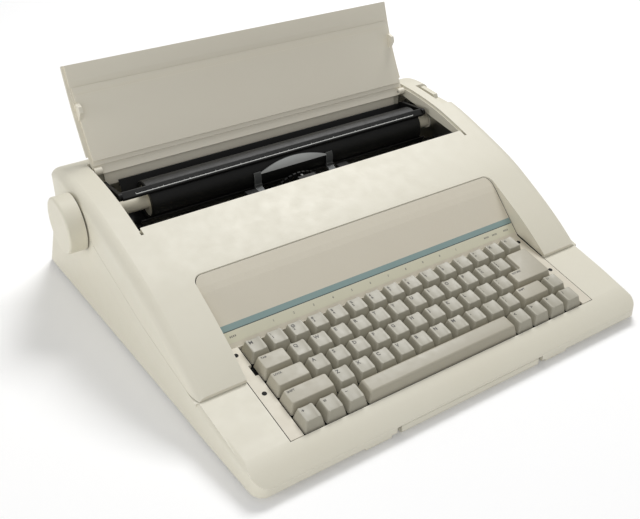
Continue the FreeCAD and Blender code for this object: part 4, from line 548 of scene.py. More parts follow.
class PaintShop:
    """Makes each finish's material once and dresses the CAD nodes."""

    def __init__(self) -> None:
        """Builds the shared groups."""
        self.groups = SharedGroups()
        self.made: dict[str, bpy.types.Material] = {}

    def get(self, name: str) -> bpy.types.Material:
        """Material of a finish, made when it is first asked for.

        Args:
            name: the finish's name.

        Returns:
            Its material.
        """
        if name not in self.made:
            self.made[name] = FINISHES[name].material(self.groups)
        return self.made[name]

    def dress_frame(self) -> None:
        """Gives each CAD node the finish of its material slot."""
        for part in frame["record"]["subparts"]:
            node = frame["nodes"][part["node"]]
            material = self.get(part["material_slot"])
            if node.data.materials:
                for index in range(len(node.data.materials)):
                    node.data.materials[index] = material
            else:
                node.data.materials.append(material)


# ---------------------------------------------------------------- meshes

FONT_SIZE = 1.37     # font size over the height of a capital
STROKE_GAIN = 0.035  # how far a stroke is thickened, over the same height


def raised(bm: bmesh.types.BMesh,
           faces: list[bmesh.types.BMFace]) -> list[bmesh.types.BMVert]:
    """Extrudes faces, leaving the new ones where they are.

    Args:
        bm: mesh of the faces.
        faces: the faces.

    Returns:
        The new vertices.
    """
    grown = bmesh.ops.extrude_face_region(bm, geom=faces)["geom"]
    return [item for item in grown if isinstance(item, bmesh.types.BMVert)]


def plan(vert: bmesh.types.BMVert) -> tuple[float, float]:
    """Rounded place of a vertex seen from above."""
    return round(vert.co.x, 4), round(vert.co.y, 4)


def settle(bm: bmesh.types.BMesh, name: str, material: bpy.types.Material,
           smooth_angle: float = 32.0) -> bpy.types.Object:
    """Turns a mesh in machine millimetres into an object of the frame.

    Args:
        bm: the mesh, which is freed.
        name: the object's name.
        material: its material.
        smooth_angle: edges sharper than this stay sharp, in degrees.

    Returns:
        The new object, at the origin.
    """
    bmesh.ops.transform(bm, matrix=BENCH.matrix(), verts=bm.verts)
    bmesh.ops.recalc_face_normals(bm, faces=bm.faces)
    mesh = bpy.data.meshes.new(name)
    bm.to_mesh(mesh)
    bm.free()
    mesh.shade_smooth()
    mesh.set_sharp_from_angle(angle=math.radians(smooth_angle))
    mesh.materials.append(material)
    piece = bpy.data.objects.new(name, mesh)
    bpy.context.scene.collection.objects.link(piece)
    return piece


def plate(bm: bmesh.types.BMesh, size: Point, centre: Point, matrix: Matrix,
          edge: float = 0.0) -> None:
    """Adds a flat block, with rounded edges where edge is given.

    Args:
        bm: mesh that takes the block.
        size: its sizes in the local system.
        centre: its centre in the local system.
        matrix: local system to machine system.
        edge: radius of its edges.
    """
    made = bmesh.ops.create_cube(bm, size=1.0)
    verts = made["verts"]
    bmesh.ops.transform(bm, matrix=Matrix.Translation(Vector(centre)) @
                        Matrix.Diagonal((*size, 1.0)), verts=verts)
    if edge > 0.0:
        edges = list(dict.fromkeys(line for vert in verts for line in vert.link_edges))
        result = bmesh.ops.bevel(bm, geom=edges, offset=edge, segments=2, profile=0.5,
                                 affect="EDGES", material=-1)
        verts = list({vert for face in result["faces"] for vert in face.verts} |
                     {vert for vert in verts if vert.is_valid})
    bmesh.ops.transform(bm, matrix=matrix, verts=verts)


def lettering(bm: bmesh.types.BMesh, text: str, height: float, thickness: float,
              matrix: Matrix, lift: Callable[[Vector], float] | None = None) -> None:
    """Adds raised characters whose lower left corner is at the local zero.

    Args:
        bm: mesh that takes them.
        text: the characters.
        height: height of a capital.
        thickness: how thick the ink is.
        matrix: local system to machine system.
        lift: function from a local point to the extra height there.
    """
    curve = bpy.data.curves.new("characters", "FONT")
    curve.body = text
    curve.size = height * FONT_SIZE
    curve.extrude = thickness / 2.0
    curve.offset = height * STROKE_GAIN
    curve.resolution_u = 3
    holder = bpy.data.objects.new("characters", curve)
    mesh = bpy.data.meshes.new_from_object(holder)
    if lift is not None:
        for vert in mesh.vertices:
            vert.co.z += lift(vert.co)
    mesh.transform(matrix)
    bm.from_mesh(mesh)
    bpy.data.objects.remove(holder)
    bpy.data.curves.remove(curve)
    bpy.data.meshes.remove(mesh)


# ---------------------------------------------------------------- keys

class Top(Enum):
    """Shapes of a key's top."""

    DISHED = "dished"
    FLAT = "flat"


@dataclass(frozen=True)
class KeySpot:
    """One key: its node, row from the front, first column and width in pitches."""

    node: str
    row: int
    start: float
    width: float
    legends: tuple[str, ...] = ()

    def top(self) -> Top:
        """Shape of this key's top."""
        return Top.DISHED if self.width < SINGLE_KEY else Top.FLAT


@dataclass(frozen=True)
class Keyboard:
    """Key caps, their legends and where they sit on the sloping deck."""

    pitch: float = PITCH
    columns: float = 15.0
    gap: float = 1.1
    deck_front: float = DECK_FRONT
    tilt: float = DECK_TILT
    skirt_level: float = -1.3
    cap_height: float = 9.4
    drafts: Point = (2.5, 3.2, 1.2)
    wall: float = 1.4
    hollow_level: float = 6.0
    corner: float = 1.7
    edge: float = 0.65
    bar_edge: float = 1.6
    dish_radius: float = 34.0
    dish_depth: float = 0.55
    dish_cuts: int = 3
    cut_step: float = 1.75
    post_rise: float = 1.0
    post_angle: float = 0.5
    rim_depth: float = 1.0
    rim_angle: float = 0.6
    stem_radius: float = 2.5
    stem_bottom: float = -7.6
    stem_root: float = 0.4
    bar_stem_reach: float = 55.0
    legend_height: float = 3.3
    pair_height: float = 2.6
    word_height: float = 1.9
    legend_side: float = 1.9
    legend_rear: float = 1.6
    legend_gap: float = 0.9
    legend_clear: float = 0.01
    return_upper_start: float = 13.5
    return_upper_width: float = 1.5
    ink: float = 0.05

    def matrix(self) -> Matrix:
        """Keyboard system (x, up the slope, off the deck) to machine system."""
        tilt = math.radians(self.tilt)
        return frame_about((0.0, 0.0, self.deck_front),
                           (0.0, math.cos(tilt), math.sin(tilt)),
                           (0.0, -math.sin(tilt), math.cos(tilt)))

    def spots(self) -> list[KeySpot]:
        """Every key of the keyboard."""
        spots = [KeySpot("front_left_keys", 0, n, 1.0, (label,))
                 for n, label in enumerate(("+", "=", "–"))]
        spots.append(KeySpot("space_bar", 0, 3, 8.0))
        spots += [KeySpot("front_right_keys", 0, 11 + n, 1.0, (label,))
                  for n, label in enumerate(("<", ">", "^", "/"))]
        spots.append(KeySpot("left_shift_key", 1, 0.0, 2.25, ("SHIFT",)))
        spots += [KeySpot("lower_row_keys", 1, 2.25 + n, 1.0, tuple(label))
                  for n, label in enumerate("Z X C V B N M , . /?".split())]
        spots.append(KeySpot("right_shift_key", 1, 12.25, 1.75, ("SHIFT",)))
        spots.append(KeySpot("relocate_key", 1, 14.0, 1.0, ("| >",)))
        spots.append(KeySpot("shift_lock_key", 2, 0.0, 1.75, ("LOCK",)))
        spots += [KeySpot("home_row_keys", 2, 1.75 + n, 1.0, tuple(label))
                  for n, label in enumerate("A S D F G H J K L ;: '\"".split())]
        spots.append(KeySpot("return_key", 2, 12.75, 2.25, ("RETURN",)))
        spots.append(KeySpot("tab_key", 3, 0.0, 1.5, ("TAB",)))
        spots += [KeySpot("upper_row_keys", 3, 1.5 + n, 1.0, tuple(label))
                  for n, label in enumerate("Q W E R T Y U I O P ½¼ ][".split())]
        spots.append(KeySpot("margin_release_key", 4, 0.0, 1.0, ("M",)))
        spots += [KeySpot("number_row_keys", 4, 1.0 + n, 1.0, tuple(label))
                  for n, label in enumerate("1! 2@ 3# 4$ 5% 6¢ 7& 8* 9( 0) -_ =+".split())]
        spots.append(KeySpot("correction_key", 4, 13.0, 1.0, ("X",)))
        spots.append(KeySpot("backspace_key", 4, 14.0, 1.0, ("<",)))
        return spots

    def outline(self, spot: KeySpot, inset: Point) -> list[tuple[float, float]]:
        """Corners of a key pulled in at its sides, front and rear.

        Args:
            spot: the key.
            inset: side, front and rear insets.

        Returns:
            Corner points in the keyboard system.
        """
        def corners(row: int, start: float, width: float) -> list[tuple[float, float]]:
            """Corners of one rectangle.

            Args:
                row: its row from the front.
                start: its first column.
                width: its width in pitches.

            Returns:
                Its corners, round from the front left.
            """
            side, front, rear = inset
            half = self.gap / 2.0
            left = start * self.pitch - self.pitch * self.columns / 2.0
            x0 = left + half + side
            x1 = left + width * self.pitch - half - side
            y0 = row * self.pitch + half + front
            y1 = (row + 1) * self.pitch - half - rear
            return [(x0, y0), (x1, y0), (x1, y1), (x0, y1)]

        low = corners(spot.row, spot.start, spot.width)
        if spot.node != "return_key":
            return low
        upper = corners(spot.row + 1, self.return_upper_start, self.return_upper_width)
        return [low[0], low[1], upper[2], upper[3], (upper[0][0], low[2][1]), low[3]]

    def centre(self, spot: KeySpot) -> float:
        """Where along x a key's middle lies."""
        return (spot.start + spot.width / 2.0 - self.columns / 2.0) * self.pitch

    def top_level(self) -> float:
        """Height of a cap's rim."""
        return self.skirt_level + self.cap_height

    def dish(self, spot: KeySpot, x: float) -> float:
        """How far a key's top lies below its rim.

        Args:
            spot: the key.
            x: where along x.

        Returns:
            The depth there, 0 on a flat top.
        """
        if spot.top() is Top.FLAT:
            return 0.0
        away = x - self.centre(spot)
        return max(0.0, self.dish_depth - away ** 2 / (2.0 * self.dish_radius))

    def cap(self, spot: KeySpot) -> bmesh.types.BMesh:
        """One key cap with its stems, in the keyboard system.

        Args:
            spot: the key.

        Returns:
            The cap's mesh.
        """
        bm = self.block(spot)
        self.soften(bm, spot)
        self.hollow(bm)
        self.add_stems(bm, spot)
        return bm

    def block(self, spot: KeySpot) -> bmesh.types.BMesh:
        """Tapered block of a cap, cut across where its top is dished.

        Args:
            spot: the key.

        Returns:
            The block's mesh.
        """
        bm = bmesh.new()
        foot = [bm.verts.new((x, y, self.skirt_level))
                for x, y in self.outline(spot, (0.0, 0.0, 0.0))]
        upper = raised(bm, [bm.faces.new(foot)])
        goals = dict(zip(map(plan, foot), self.outline(spot, self.drafts)))
        for vert in upper:
            vert.co = (*goals[plan(vert)], self.top_level())
        if spot.top() is Top.DISHED:
            middle = (upper[0].co.x + upper[2].co.x) / 2.0
            for step in range(-self.dish_cuts, self.dish_cuts + 1):
                bmesh.ops.bisect_plane(bm, geom=bm.verts[:] + bm.edges[:] + bm.faces[:],
                                       plane_co=(middle + step * self.cut_step, 0.0, 0.0),
                                       plane_no=(1.0, 0.0, 0.0))
        return bm

    def soften(self, bm: bmesh.types.BMesh, spot: KeySpot) -> None:
        """Rounds a block's corners, sinks its dish and rounds its rim.

        Args:
            bm: the block.
            spot: the key.
        """
        level = self.top_level()
        bm.normal_update()
        posts = [line for line in bm.edges
                 if abs(line.verts[0].co.z - line.verts[1].co.z) > self.post_rise
                 and line.calc_face_angle(0.0) > self.post_angle]
        bmesh.ops.bevel(bm, geom=posts, offset=self.corner, segments=5, profile=0.5,
                        affect="EDGES", material=-1)
        for vert in bm.verts:
            if vert.co.z > level - 0.01:
                vert.co.z -= self.dish(spot, vert.co.x)
        bm.normal_update()
        rim = [line for line in bm.edges
               if all(vert.co.z > level - self.rim_depth for vert in line.verts)
               and line.calc_face_angle(0.0) > self.rim_angle]
        edge = self.bar_edge if spot.node == "space_bar" else self.edge
        bmesh.ops.bevel(bm, geom=rim, offset=edge, segments=4, profile=0.5,
                        affect="EDGES", material=-1, clamp_overlap=False)

    def hollow(self, bm: bmesh.types.BMesh) -> None:
        """Opens a cap from below, its inner sides sloped as its outer ones.

        Args:
            bm: the cap.
        """
        under = [face for face in bm.faces if face.normal.z < -0.9]
        bmesh.ops.inset_region(bm, faces=under, thickness=self.wall, use_even_offset=True)
        lifted = raised(bm, under)
        rise = (self.hollow_level - self.skirt_level) / self.cap_height
        side, front, rear = (draft * rise for draft in self.drafts)
        x0, x1 = min(v.co.x for v in lifted), max(v.co.x for v in lifted)
        y0, y1 = min(v.co.y for v in lifted), max(v.co.y for v in lifted)
        for vert in lifted:
            share_x = (vert.co.x - x0) / (x1 - x0)
            share_y = (vert.co.y - y0) / (y1 - y0)
            vert.co = (x0 + side + share_x * (x1 - x0 - 2.0 * side),
                       y0 + front + share_y * (y1 - y0 - front - rear), self.hollow_level)
        bmesh.ops.delete(bm, geom=under, context="FACES")

    def add_stems(self, bm: bmesh.types.BMesh, spot: KeySpot) -> None:
        """Adds the stems that reach down through the key frame.

        Args:
            bm: the cap.
            spot: the key.
        """
        length = self.hollow_level + self.stem_root - self.stem_bottom
        y = (spot.row + 0.5) * self.pitch
        for x in self.stems(spot):
            place = Matrix.Translation((x, y, self.stem_bottom + length / 2.0))
            bmesh.ops.create_cone(bm, cap_ends=True, segments=20, radius1=self.stem_radius,
                                  radius2=self.stem_radius, depth=length, matrix=place)

    def stems(self, spot: KeySpot) -> list[float]:
        """Where along x a key's stems stand.

        Args:
            spot: the key.

        Returns:
            The middle of each stem.
        """
        centre = self.centre(spot)
        if spot.node == "space_bar":
            return [centre - self.bar_stem_reach, centre, centre + self.bar_stem_reach]
        if spot.node == "return_key":
            column = self.return_upper_start + self.return_upper_width / 2.0
            return [(column - self.columns / 2.0) * self.pitch]
        return [centre]

    def legend(self, bm: bmesh.types.BMesh, spot: KeySpot) -> None:
        """Adds a key's characters at the upper left of its top.

        Args:
            bm: mesh that takes the ink, in the keyboard system.
            spot: the key.
        """
        corners = self.outline(spot, self.drafts)
        left = min(x for x, _ in corners) + self.legend_side
        rear = (spot.row + 1) * self.pitch - self.gap / 2.0 - self.drafts[2] - self.legend_rear
        level = self.top_level() + self.ink / 2.0 + self.legend_clear
        words = len(spot.legends[0]) > 1
        height = self.word_height if words else self.legend_height
        if len(spot.legends) > 1:
            height = self.pair_height
        for index, text in enumerate(spot.legends[::-1]):
            y = rear - height * (index + 1) - self.legend_gap * index
            place = Matrix.Translation((left, y, level))
            lettering(bm, text, height, self.ink, place,
                      lambda co, x0=left: -self.dish(spot, co.x + x0))

    def build(self, shop: PaintShop) -> list[bpy.types.Object]:
        """Builds every cap and its legend and rides them on the keys' bodies.

        Args:
            shop: source of materials.

        Returns:
            The new pieces.
        """
        pieces = []
        nodes: dict[str, list[KeySpot]] = {}
        for spot in self.spots():
            nodes.setdefault(spot.node, []).append(spot)
        for node, spots in nodes.items():
            own = f"{node}_body"
            body = own if own in frame["bodies"] else body_of(frame["nodes"][node])
            caps = bmesh.new()
            ink = bmesh.new()
            for spot in spots:
                one = self.cap(spot)
                mesh = bpy.data.meshes.new("cap")
                one.to_mesh(mesh)
                one.free()
                caps.from_mesh(mesh)
                bpy.data.meshes.remove(mesh)
                if spot.legends:
                    self.legend(ink, spot)
            wide = spots[0].top() is Top.FLAT
            finish = "wide_key_plastic" if wide else "key_plastic"
            bmesh.ops.transform(caps, matrix=self.matrix(), verts=caps.verts)
            piece = settle(caps, node.replace("_keys", "_caps").replace("_key", "_cap")
                           .replace("space_bar", "space_bar_cap"), shop.get(finish))
            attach(piece, body)
            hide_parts(node)
            pieces.append(piece)
            if ink.verts:
                bmesh.ops.transform(ink, matrix=self.matrix(), verts=ink.verts)
                mark = settle(ink, f"{node}_legends", shop.get("legend_ink"))
                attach(mark, body)
                pieces.append(mark)
            else:
                ink.free()
            LOG.info("keys: %s", node)
        return pieces


# ---------------------------------------------------------------- panel

@dataclass(frozen=True)
class PanelPrint:
    """Stripe, fine line and scale printed on the sloping panel, with painted shade under its
    joint and in its screw holes.
    """

    foot: tuple[float, float] = (98.6, 41.0)
    head: tuple[float, float] = (131.0, 70.8)
    half_width: float = 154.4
    stripe: tuple[float, float] = (10.2, 15.2)
    line: tuple[float, float] = (9.5, 10.2)
    scale: tuple[float, float] = (0.3, 9.5)
    ink: float = 0.08
    pitch: float = PITCH
    sink: float = 0.02
    numerals: int = 11
    numeral_height: float = 1.9
    numeral_level: float = 4.3
    scale_shift: float = 0.35
    scale_middle: float = 7.0
    mark_ink: float = 0.05
    mark_groups: tuple[float, ...] = (-146.0, 118.0, 128.0, 142.0)
    marks_in_group: int = 4
    mark_step: float = 1.5
    mark_size: tuple[float, float] = (0.9, 1.5)
    mark_level: float = 5.1
    # Black strip of painted shade under the panel's joint, along its sides and rear.
    joint_x: float = 156.0
    strip_width: float = 4.0
    strip_drop: float = 0.9
    strip_thickness: float = 0.4
    rear_strip: Point = (1.6, 144.0, 79.3)
    # Black discs of painted shade in the four screw holes.
    screw_x: float = 149.0
    screw_ys: tuple[float, float] = (46.0, 88.5)
    screw_radius: float = 2.0
    screw_depth: float = 0.16
    deck_tilt: float = DECK_TILT
    deck_front: float = DECK_FRONT
    outline: tuple[tuple[float, float], ...] = (
        (-4.0, 21.7), (95.8, 38.3), (98.6, 41.0), (131.0, 70.8), (135.5, 74.4), (143.8, 80.4))

    def matrix(self) -> Matrix:
        """Slope system (x, up the slope, off the slope) to machine system."""
        rise = Vector((0.0, self.head[0] - self.foot[0], self.head[1] - self.foot[1]))
        return frame_about((0.0, *self.foot), tuple(rise), (0.0, -rise.z, rise.y))

    def band(self, name: str, limits: tuple[float, float], finish: str,
             shop: PaintShop) -> bpy.types.Object:
        """One printed band across the panel.

        Args:
            name: the piece's name.
            limits: lower and upper edge up the slope.
            finish: its finish.
            shop: source of materials.

        Returns:
            The new piece.
        """
        bm = bmesh.new()
        plate(bm, (self.half_width * 2.0, limits[1] - limits[0], self.ink),
              (0.0, (limits[0] + limits[1]) / 2.0, self.ink / 2.0 - self.sink), self.matrix())
        piece = settle(bm, name, shop.get(finish))
        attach(piece, "casing")
        LOG.info("panel: %s", name)
        return piece

    def marks(self, shop: PaintShop) -> bpy.types.Object:
        """Pitch numerals and groups of small marks on the scale band.

        Args:
            shop: source of materials.

        Returns:
            The new piece.
        """
        bm = bmesh.new()
        for index in range(1, self.numerals + 1):
            x = (index + self.scale_shift - self.scale_middle) * self.pitch
            place = self.matrix() @ Matrix.Translation((x, self.numeral_level, self.ink))
            lettering(bm, str(index % 10), self.numeral_height, self.mark_ink, place)
        for x in self.mark_groups:
            for step in range(self.marks_in_group):
                plate(bm, (*self.mark_size, self.mark_ink),
                      (x + step * self.mark_step, self.mark_level, self.ink), self.matrix())
        piece = settle(bm, "scale_marks", shop.get("mark_ink"))
        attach(piece, "casing")
        LOG.info("panel: scale_marks")
        return piece

    def shadow_strip(self, shop: PaintShop) -> bpy.types.Object:
        """Black strip under the joint between the panel and the casing, painted shade in the
        gap.

        Args:
            shop: source of materials.

        Returns:
            The new piece.
        """
        bm = bmesh.new()
        for side in (-1.0, 1.0):
            x = side * (self.joint_x - self.strip_width / 2.0)
            verts = [bm.verts.new((x - self.strip_width / 2.0, y, z - self.strip_drop))
                     for y, z in self.outline]
            lines = [bm.edges.new(pair) for pair in zip(verts, verts[1:])]
            grown = bmesh.ops.extrude_edge_only(bm, edges=lines)["geom"]
            moved = [item for item in grown if isinstance(item, bmesh.types.BMVert)]
            bmesh.ops.translate(bm, verts=moved, vec=(self.strip_width, 0.0, 0.0))
        bmesh.ops.recalc_face_normals(bm, faces=bm.faces)
        bmesh.ops.solidify(bm, geom=bm.faces[:], thickness=self.strip_thickness)
        plate(bm, (self.joint_x * 2.0, self.rear_strip[0], self.strip_thickness),
              (0.0, self.rear_strip[1], self.rear_strip[2]), Matrix.Identity(4))
        # The black strip is painted shade: it darkens the gap that the lights leave lit.
        piece = settle(bm, "joint_shadow", shop.get("painted_shade_black"))
        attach(piece, "casing")
        LOG.info("panel: joint_shadow")
        return piece

    def screw_well_shades(self, shop: PaintShop) -> bpy.types.Object:
        """Black discs at the mouths of the four screw holes in the side strips, painted shade
        inside the holes.

        Args:
            shop: source of materials.

        Returns:
            The new piece.
        """
        bm = bmesh.new()
        tilt = math.radians(self.deck_tilt)
        for x in (-self.screw_x, self.screw_x):
            for y in self.screw_ys:
                z = self.deck_front + math.tan(tilt) * y
                place = (Matrix.Translation((x, y, z)) @ Matrix.Rotation(tilt, 4, "X"))
                bmesh.ops.create_cone(bm, cap_ends=True, segments=24,
                                      radius1=self.screw_radius, radius2=self.screw_radius,
                                      depth=self.screw_depth, matrix=place)
        # The flush black discs are painted shade inside the screw holes.
        piece = settle(bm, "screw_well_shades", shop.get("painted_shade_black"))
        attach(piece, "casing")
        LOG.info("panel: screw_well_shades")
        return piece

    def build(self, shop: PaintShop) -> list[bpy.types.Object]:
        """Builds the painted-shade strip and screw-hole discs, the bands and the marks.

        Args:
            shop: source of materials.

        Returns:
            The new pieces.
        """
        return [self.shadow_strip(shop), self.screw_well_shades(shop),
                self.band("stripe", self.stripe, "stripe_ink", shop),
                self.band("stripe_line", self.line, "line_ink", shop),
                self.band("scale_band", self.scale, "scale_ink", shop),
                self.marks(shop)]


# ---------------------------------------------------------------- lid and bay

@dataclass(frozen=True)
class LidLining:
    """Moulded front band inside the lid, drawn with the lid shut, then swung open.

    Each point of the relief gives the distance back from the free edge and how far the
    band stands off the lid's inner face there.
    """

    hinge: tuple[float, float] = (296.5, 109.0)
    open_angle: float = 123.3
    free_edge: float = 204.9
    half_length: float = 169.0
    thickness: float = 2.26
    embed: float = 1.2
    crease: float = 50.0
    top_line: tuple[tuple[float, float], ...] = (
        (203.7, 99.7), (212.0, 101.8), (221.9, 104.3), (231.0, 106.4), (240.0, 108.2),
        (250.0, 109.8))
    relief: tuple[tuple[float, float], ...] = (
        (0.0, 2.2), (13.0, 2.3), (15.0, 2.0), (18.6, 0.3), (20.5, 0.1), (23.0, 0.35),
        (33.0, 2.0), (35.0, 2.1), (38.0, -0.3))

    def skin(self, y: float) -> float:
        """Height of the lid's inner face, with the lid shut.

        Args:
            y: where along y.

        Returns:
            The height there.
        """
        for (y0, z0), (y1, z1) in zip(self.top_line, self.top_line[1:]):
            if y <= y1:
                return z0 + (z1 - z0) * (y - y0) / (y1 - y0) - self.thickness
        return self.top_line[-1][1] - self.thickness

    def swing(self) -> Matrix:
        """Turns the shut lid to its open stop, about its hinge."""
        pivot = Vector((0.0, *self.hinge))
        return (Matrix.Translation(pivot) @
                Matrix.Rotation(math.radians(-self.open_angle), 4, "X") @
                Matrix.Translation(-pivot))

    def build(self, shop: PaintShop) -> list[bpy.types.Object]:
        """Builds the band.

        Args:
            shop: source of materials.

        Returns:
            The new pieces.
        """
        bm = bmesh.new()
        near = []
        far = []
        for step, height in self.relief:
            y = self.free_edge + step
            level = self.skin(y)
            near.append((y, level - height))
            far.append((y, level + self.embed))
        verts = [bm.verts.new((-self.half_length, y, z)) for y, z in near + far[::-1]]
        moved = raised(bm, [bm.faces.new(verts)])
        bmesh.ops.translate(bm, verts=moved, vec=(self.half_length * 2.0, 0.0, 0.0))
        bmesh.ops.transform(bm, matrix=self.swing(), verts=bm.verts)
        piece = settle(bm, "lid_front_band", shop.get("lid_plastic"), self.crease)
        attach(piece, "cover")
        LOG.info("lid: lid_front_band")
        return [piece]


@dataclass(frozen=True)
class RearApron:
    """Sheet that closes the bay between the lid's hinge and the paper pan."""

    upper: tuple[float, float] = (301.5, 106.4)
    lower: tuple[float, float] = (299.0, 92.0)
    half_length: float = 160.0
    thickness: float = 1.2
    edge: float = 0.4

    def build(self, shop: PaintShop) -> list[bpy.types.Object]:
        """Builds the sheet with its rounded edges.

        Args:
            shop: source of materials.

        Returns:
            The new pieces.
        """
        rise = Vector((0.0, self.upper[0] - self.lower[0], self.upper[1] - self.lower[1]))
        middle = (0.0, (self.upper[0] + self.lower[0]) / 2.0,
                  (self.upper[1] + self.lower[1]) / 2.0)
        bm = bmesh.new()
        plate(bm, (self.half_length * 2.0, rise.length, self.thickness), (0.0, 0.0, 0.0),
              frame_about(middle, tuple(rise), (0.0, -rise.z, rise.y)), self.edge)
        piece = settle(bm, "rear_apron", shop.get("lid_plastic"))
        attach(piece, "casing")
        LOG.info("bay: rear_apron")
        return [piece]


# ---------------------------------------------------------------- paper bail

@dataclass(frozen=True)
class BailScale:
    """White scale line and ticks on the paper bail."""

    platen: tuple[float, float] = PLATEN_AXIS
    face_radius: float = 22.2
    angle: float = 56.0
    half_length: float = 150.0
    base_line: float = -1.6
    tick_step: float = 5.08
    tick_width: float = 0.35
    short_tick: float = 0.7
    long_tick: float = 1.3
    long_every: int = 5
    line_width: float = 0.55
    ink: float = 0.06

    def matrix(self) -> Matrix:
        """Bail system (x, up the bar, off the bar) to machine system."""
        turn = math.radians(self.angle)
        out = (0.0, -math.cos(turn), math.sin(turn))
        up = (0.0, math.sin(turn), math.cos(turn))
        origin = (0.0, self.platen[0] + out[1] * self.face_radius,
                  self.platen[1] + out[2] * self.face_radius)
        return frame_about(origin, up, out)

    def build(self, shop: PaintShop) -> list[bpy.types.Object]:
        """Builds the line with its ticks.

        Args:
            shop: source of materials.

        Returns:
            The new pieces.
        """
        bm = bmesh.new()
        plate(bm, (self.half_length * 2.0, self.line_width, self.ink),
              (0.0, self.base_line, self.ink / 2.0), self.matrix())
        count = int(self.half_length * 2.0 / self.tick_step)
        for index in range(count + 1):
            tall = self.short_tick if index % self.long_every else self.long_tick
            x = -self.half_length + index * self.tick_step
            plate(bm, (self.tick_width, tall, self.ink),
                  (x, self.base_line + tall / 2.0, self.ink / 2.0), self.matrix())
        piece = settle(bm, "bail_scale", shop.get("white_ink"))
        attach(piece, "bail")
        LOG.info("bail: bail_scale")
        return [piece]


# ---------------------------------------------------------------- card holder

@dataclass(frozen=True)
class CardFace:
    """Silvered face of the card holder's crescent."""

    platen: tuple[float, float] = PLATEN_AXIS
    half_width: float = 37.0
    lowest: float = 90.2
    film: float = 0.12
    lift: float = 0.02
    weld: float = 0.001
    facing: float = 0.9
    margin: float = 1.0

    def build(self, shop: PaintShop) -> list[bpy.types.Object]:
        """Builds the face from the front of the crescent.

        Args:
            shop: source of materials.

        Returns:
            The new pieces.
        """
        bm = bmesh.new()
        bm.from_mesh(frame["nodes"]["card_holder"].data)
        bmesh.ops.transform(bm, matrix=BENCH.matrix().inverted(), verts=bm.verts)
        bmesh.ops.remove_doubles(bm, verts=bm.verts, dist=self.weld)
        low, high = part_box("card_holder")
        middle = (BENCH.matrix().inverted() @ ((low + high) / 2.0)).x
        bm.normal_update()
        spare = []
        for face in bm.faces:
            centre = face.calc_center_median()
            out = Vector((0.0, centre.y - self.platen[0], centre.z - self.platen[1]))
            keep = (face.normal.dot(out.normalized()) > self.facing
                    and all(vert.co.z > self.lowest - self.margin for vert in face.verts)
                    and abs(centre.x - middle) < self.half_width)
            if not keep:
                spare.append(face)
        bmesh.ops.delete(bm, geom=spare, context="FACES")
        for vert in bm.verts:
            out = Vector((0.0, vert.co.y - self.platen[0], vert.co.z - self.platen[1]))
            vert.co += out.normalized() * self.lift
        bm.normal_update()
        bmesh.ops.solidify(bm, geom=bm.faces[:], thickness=-self.film)
        pieces = []
        if bm.faces:
            face = settle(bm, "card_face", shop.get("silver_face"))
            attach(face, "carriage")
            pieces.append(face)
            LOG.info("carriage: card_face")
        else:
            bm.free()
            LOG.warning("carriage: the crescent's front was not found")
        return pieces


# ---------------------------------------------------------------- studio

@dataclass(frozen=True)
class Lamp:
    """One soft square light: metres and watts."""

    name: str
    place: Point
    aim: Point
    size: float
    power: float

    def add(self) -> None:
        """Adds the light."""
        data = bpy.data.lights.new(self.name, "AREA")
        data.shape = "SQUARE"
        data.size = self.size
        data.energy = self.power
        lamp = bpy.data.objects.new(self.name, data)
        turn = (Vector(self.aim) - Vector(self.place)).to_track_quat("-Z", "Y")
        lamp.matrix_world = Matrix.Translation(Vector(self.place)) @ turn.to_matrix().to_4x4()
        bpy.context.scene.collection.objects.link(lamp)


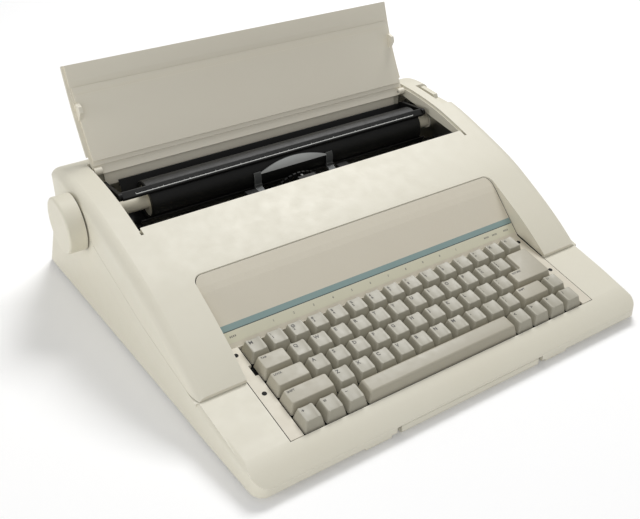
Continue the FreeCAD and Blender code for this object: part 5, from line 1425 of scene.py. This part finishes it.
@dataclass(frozen=True)
class Studio:
    """Pale floor, soft lights and the camera."""

    place: Point = (-395.0, -403.1, 485.3)
    yaw: float = 36.36
    pitch: float = 33.07
    roll: float = 1.68
    lens: float = 51.16
    shift: tuple[float, float] = (-0.0633, -0.0069)
    sensor: float = 36.0
    nearest: float = 0.01
    floor_half: float = 6.0
    floor_drop: float = 0.0002
    floor_shade: float = 0.95
    floor_roughness: float = 0.9
    floor_glow: float = 0.06
    sky: float = 0.36
    lamps: tuple[Lamp, ...] = (
        Lamp("key_light", (0.8, 0.7, 1.65), (0.0, 0.0, 0.05), 0.7, 24.5),
        Lamp("side_light", (-1.9, 0.1, 0.42), (0.0, 0.05, 0.1), 0.7, 8.5),
        Lamp("front_light", (-0.9, -1.5, 1.2), (0.0, 0.0, 0.1), 1.3, 9.0))

    def camera(self) -> None:
        """Adds the camera."""
        yaw, pitch, roll = (math.radians(v) for v in (self.yaw, self.pitch, self.roll))
        forward = Vector((math.sin(yaw) * math.cos(pitch), math.cos(yaw) * math.cos(pitch),
                          -math.sin(pitch)))
        right = Vector((math.cos(yaw), -math.sin(yaw), 0.0))
        up = right.cross(forward)
        across = right * math.cos(roll) + up * math.sin(roll)
        above = up * math.cos(roll) - right * math.sin(roll)
        data = bpy.data.cameras.new("camera")
        data.lens = self.lens
        data.sensor_width = self.sensor
        data.shift_x, data.shift_y = self.shift
        data.clip_start = self.nearest
        camera = bpy.data.objects.new("camera", data)
        turn = Matrix((across, above, -forward)).transposed().to_4x4()
        camera.matrix_world = Matrix.Translation(BENCH.point(*self.place)) @ turn
        bpy.context.scene.collection.objects.link(camera)
        bpy.context.scene.camera = camera

    def floor(self) -> None:
        """Adds the pale floor."""
        low, _ = CAD_BOX
        bm = bmesh.new()
        bmesh.ops.create_grid(bm, x_segments=1, y_segments=1, size=self.floor_half)
        bmesh.ops.translate(bm, verts=bm.verts, vec=(0.0, 0.0, low[2] - self.floor_drop))
        mesh = bpy.data.meshes.new("floor")
        bm.to_mesh(mesh)
        bm.free()
        material = bpy.data.materials.new("floor_white")
        material.use_nodes = True
        shader = material.node_tree.nodes["Principled BSDF"]
        shader.inputs["Base Color"].default_value = (*(self.floor_shade,) * 3, 1.0)
        shader.inputs["Roughness"].default_value = self.floor_roughness
        shader.inputs["Emission Color"].default_value = (1.0, 1.0, 1.0, 1.0)
        shader.inputs["Emission Strength"].default_value = self.floor_glow
        mesh.materials.append(material)
        floor = bpy.data.objects.new("floor", mesh)
        bpy.context.scene.collection.objects.link(floor)

    def build(self) -> None:
        """Builds the whole set."""
        world = bpy.data.worlds.new("studio")
        world.use_nodes = True
        back = world.node_tree.nodes["Background"]
        back.inputs[0].default_value = (1.0, 1.0, 1.0, 1.0)
        back.inputs[1].default_value = self.sky
        bpy.context.scene.world = world
        bpy.context.scene.view_settings.view_transform = "Standard"
        self.floor()
        for lamp in self.lamps:
            lamp.add()
        self.camera()


# ---------------------------------------------------------------- main

def main() -> None:
    """Builds every sub-assembly in order."""
    logging.basicConfig(level=logging.INFO, format="%(name)s %(message)s")
    shop = PaintShop()
    shop.dress_frame()
    builders = (Keyboard(), PanelPrint(), LidLining(), RearApron(), BailScale(),
                CardFace())
    for builder in builders:
        pieces = builder.build(shop)
        LOG.info("%s: %d pieces", type(builder).__name__, len(pieces))
    Studio().build()


if __name__ == "__main__":
    main()
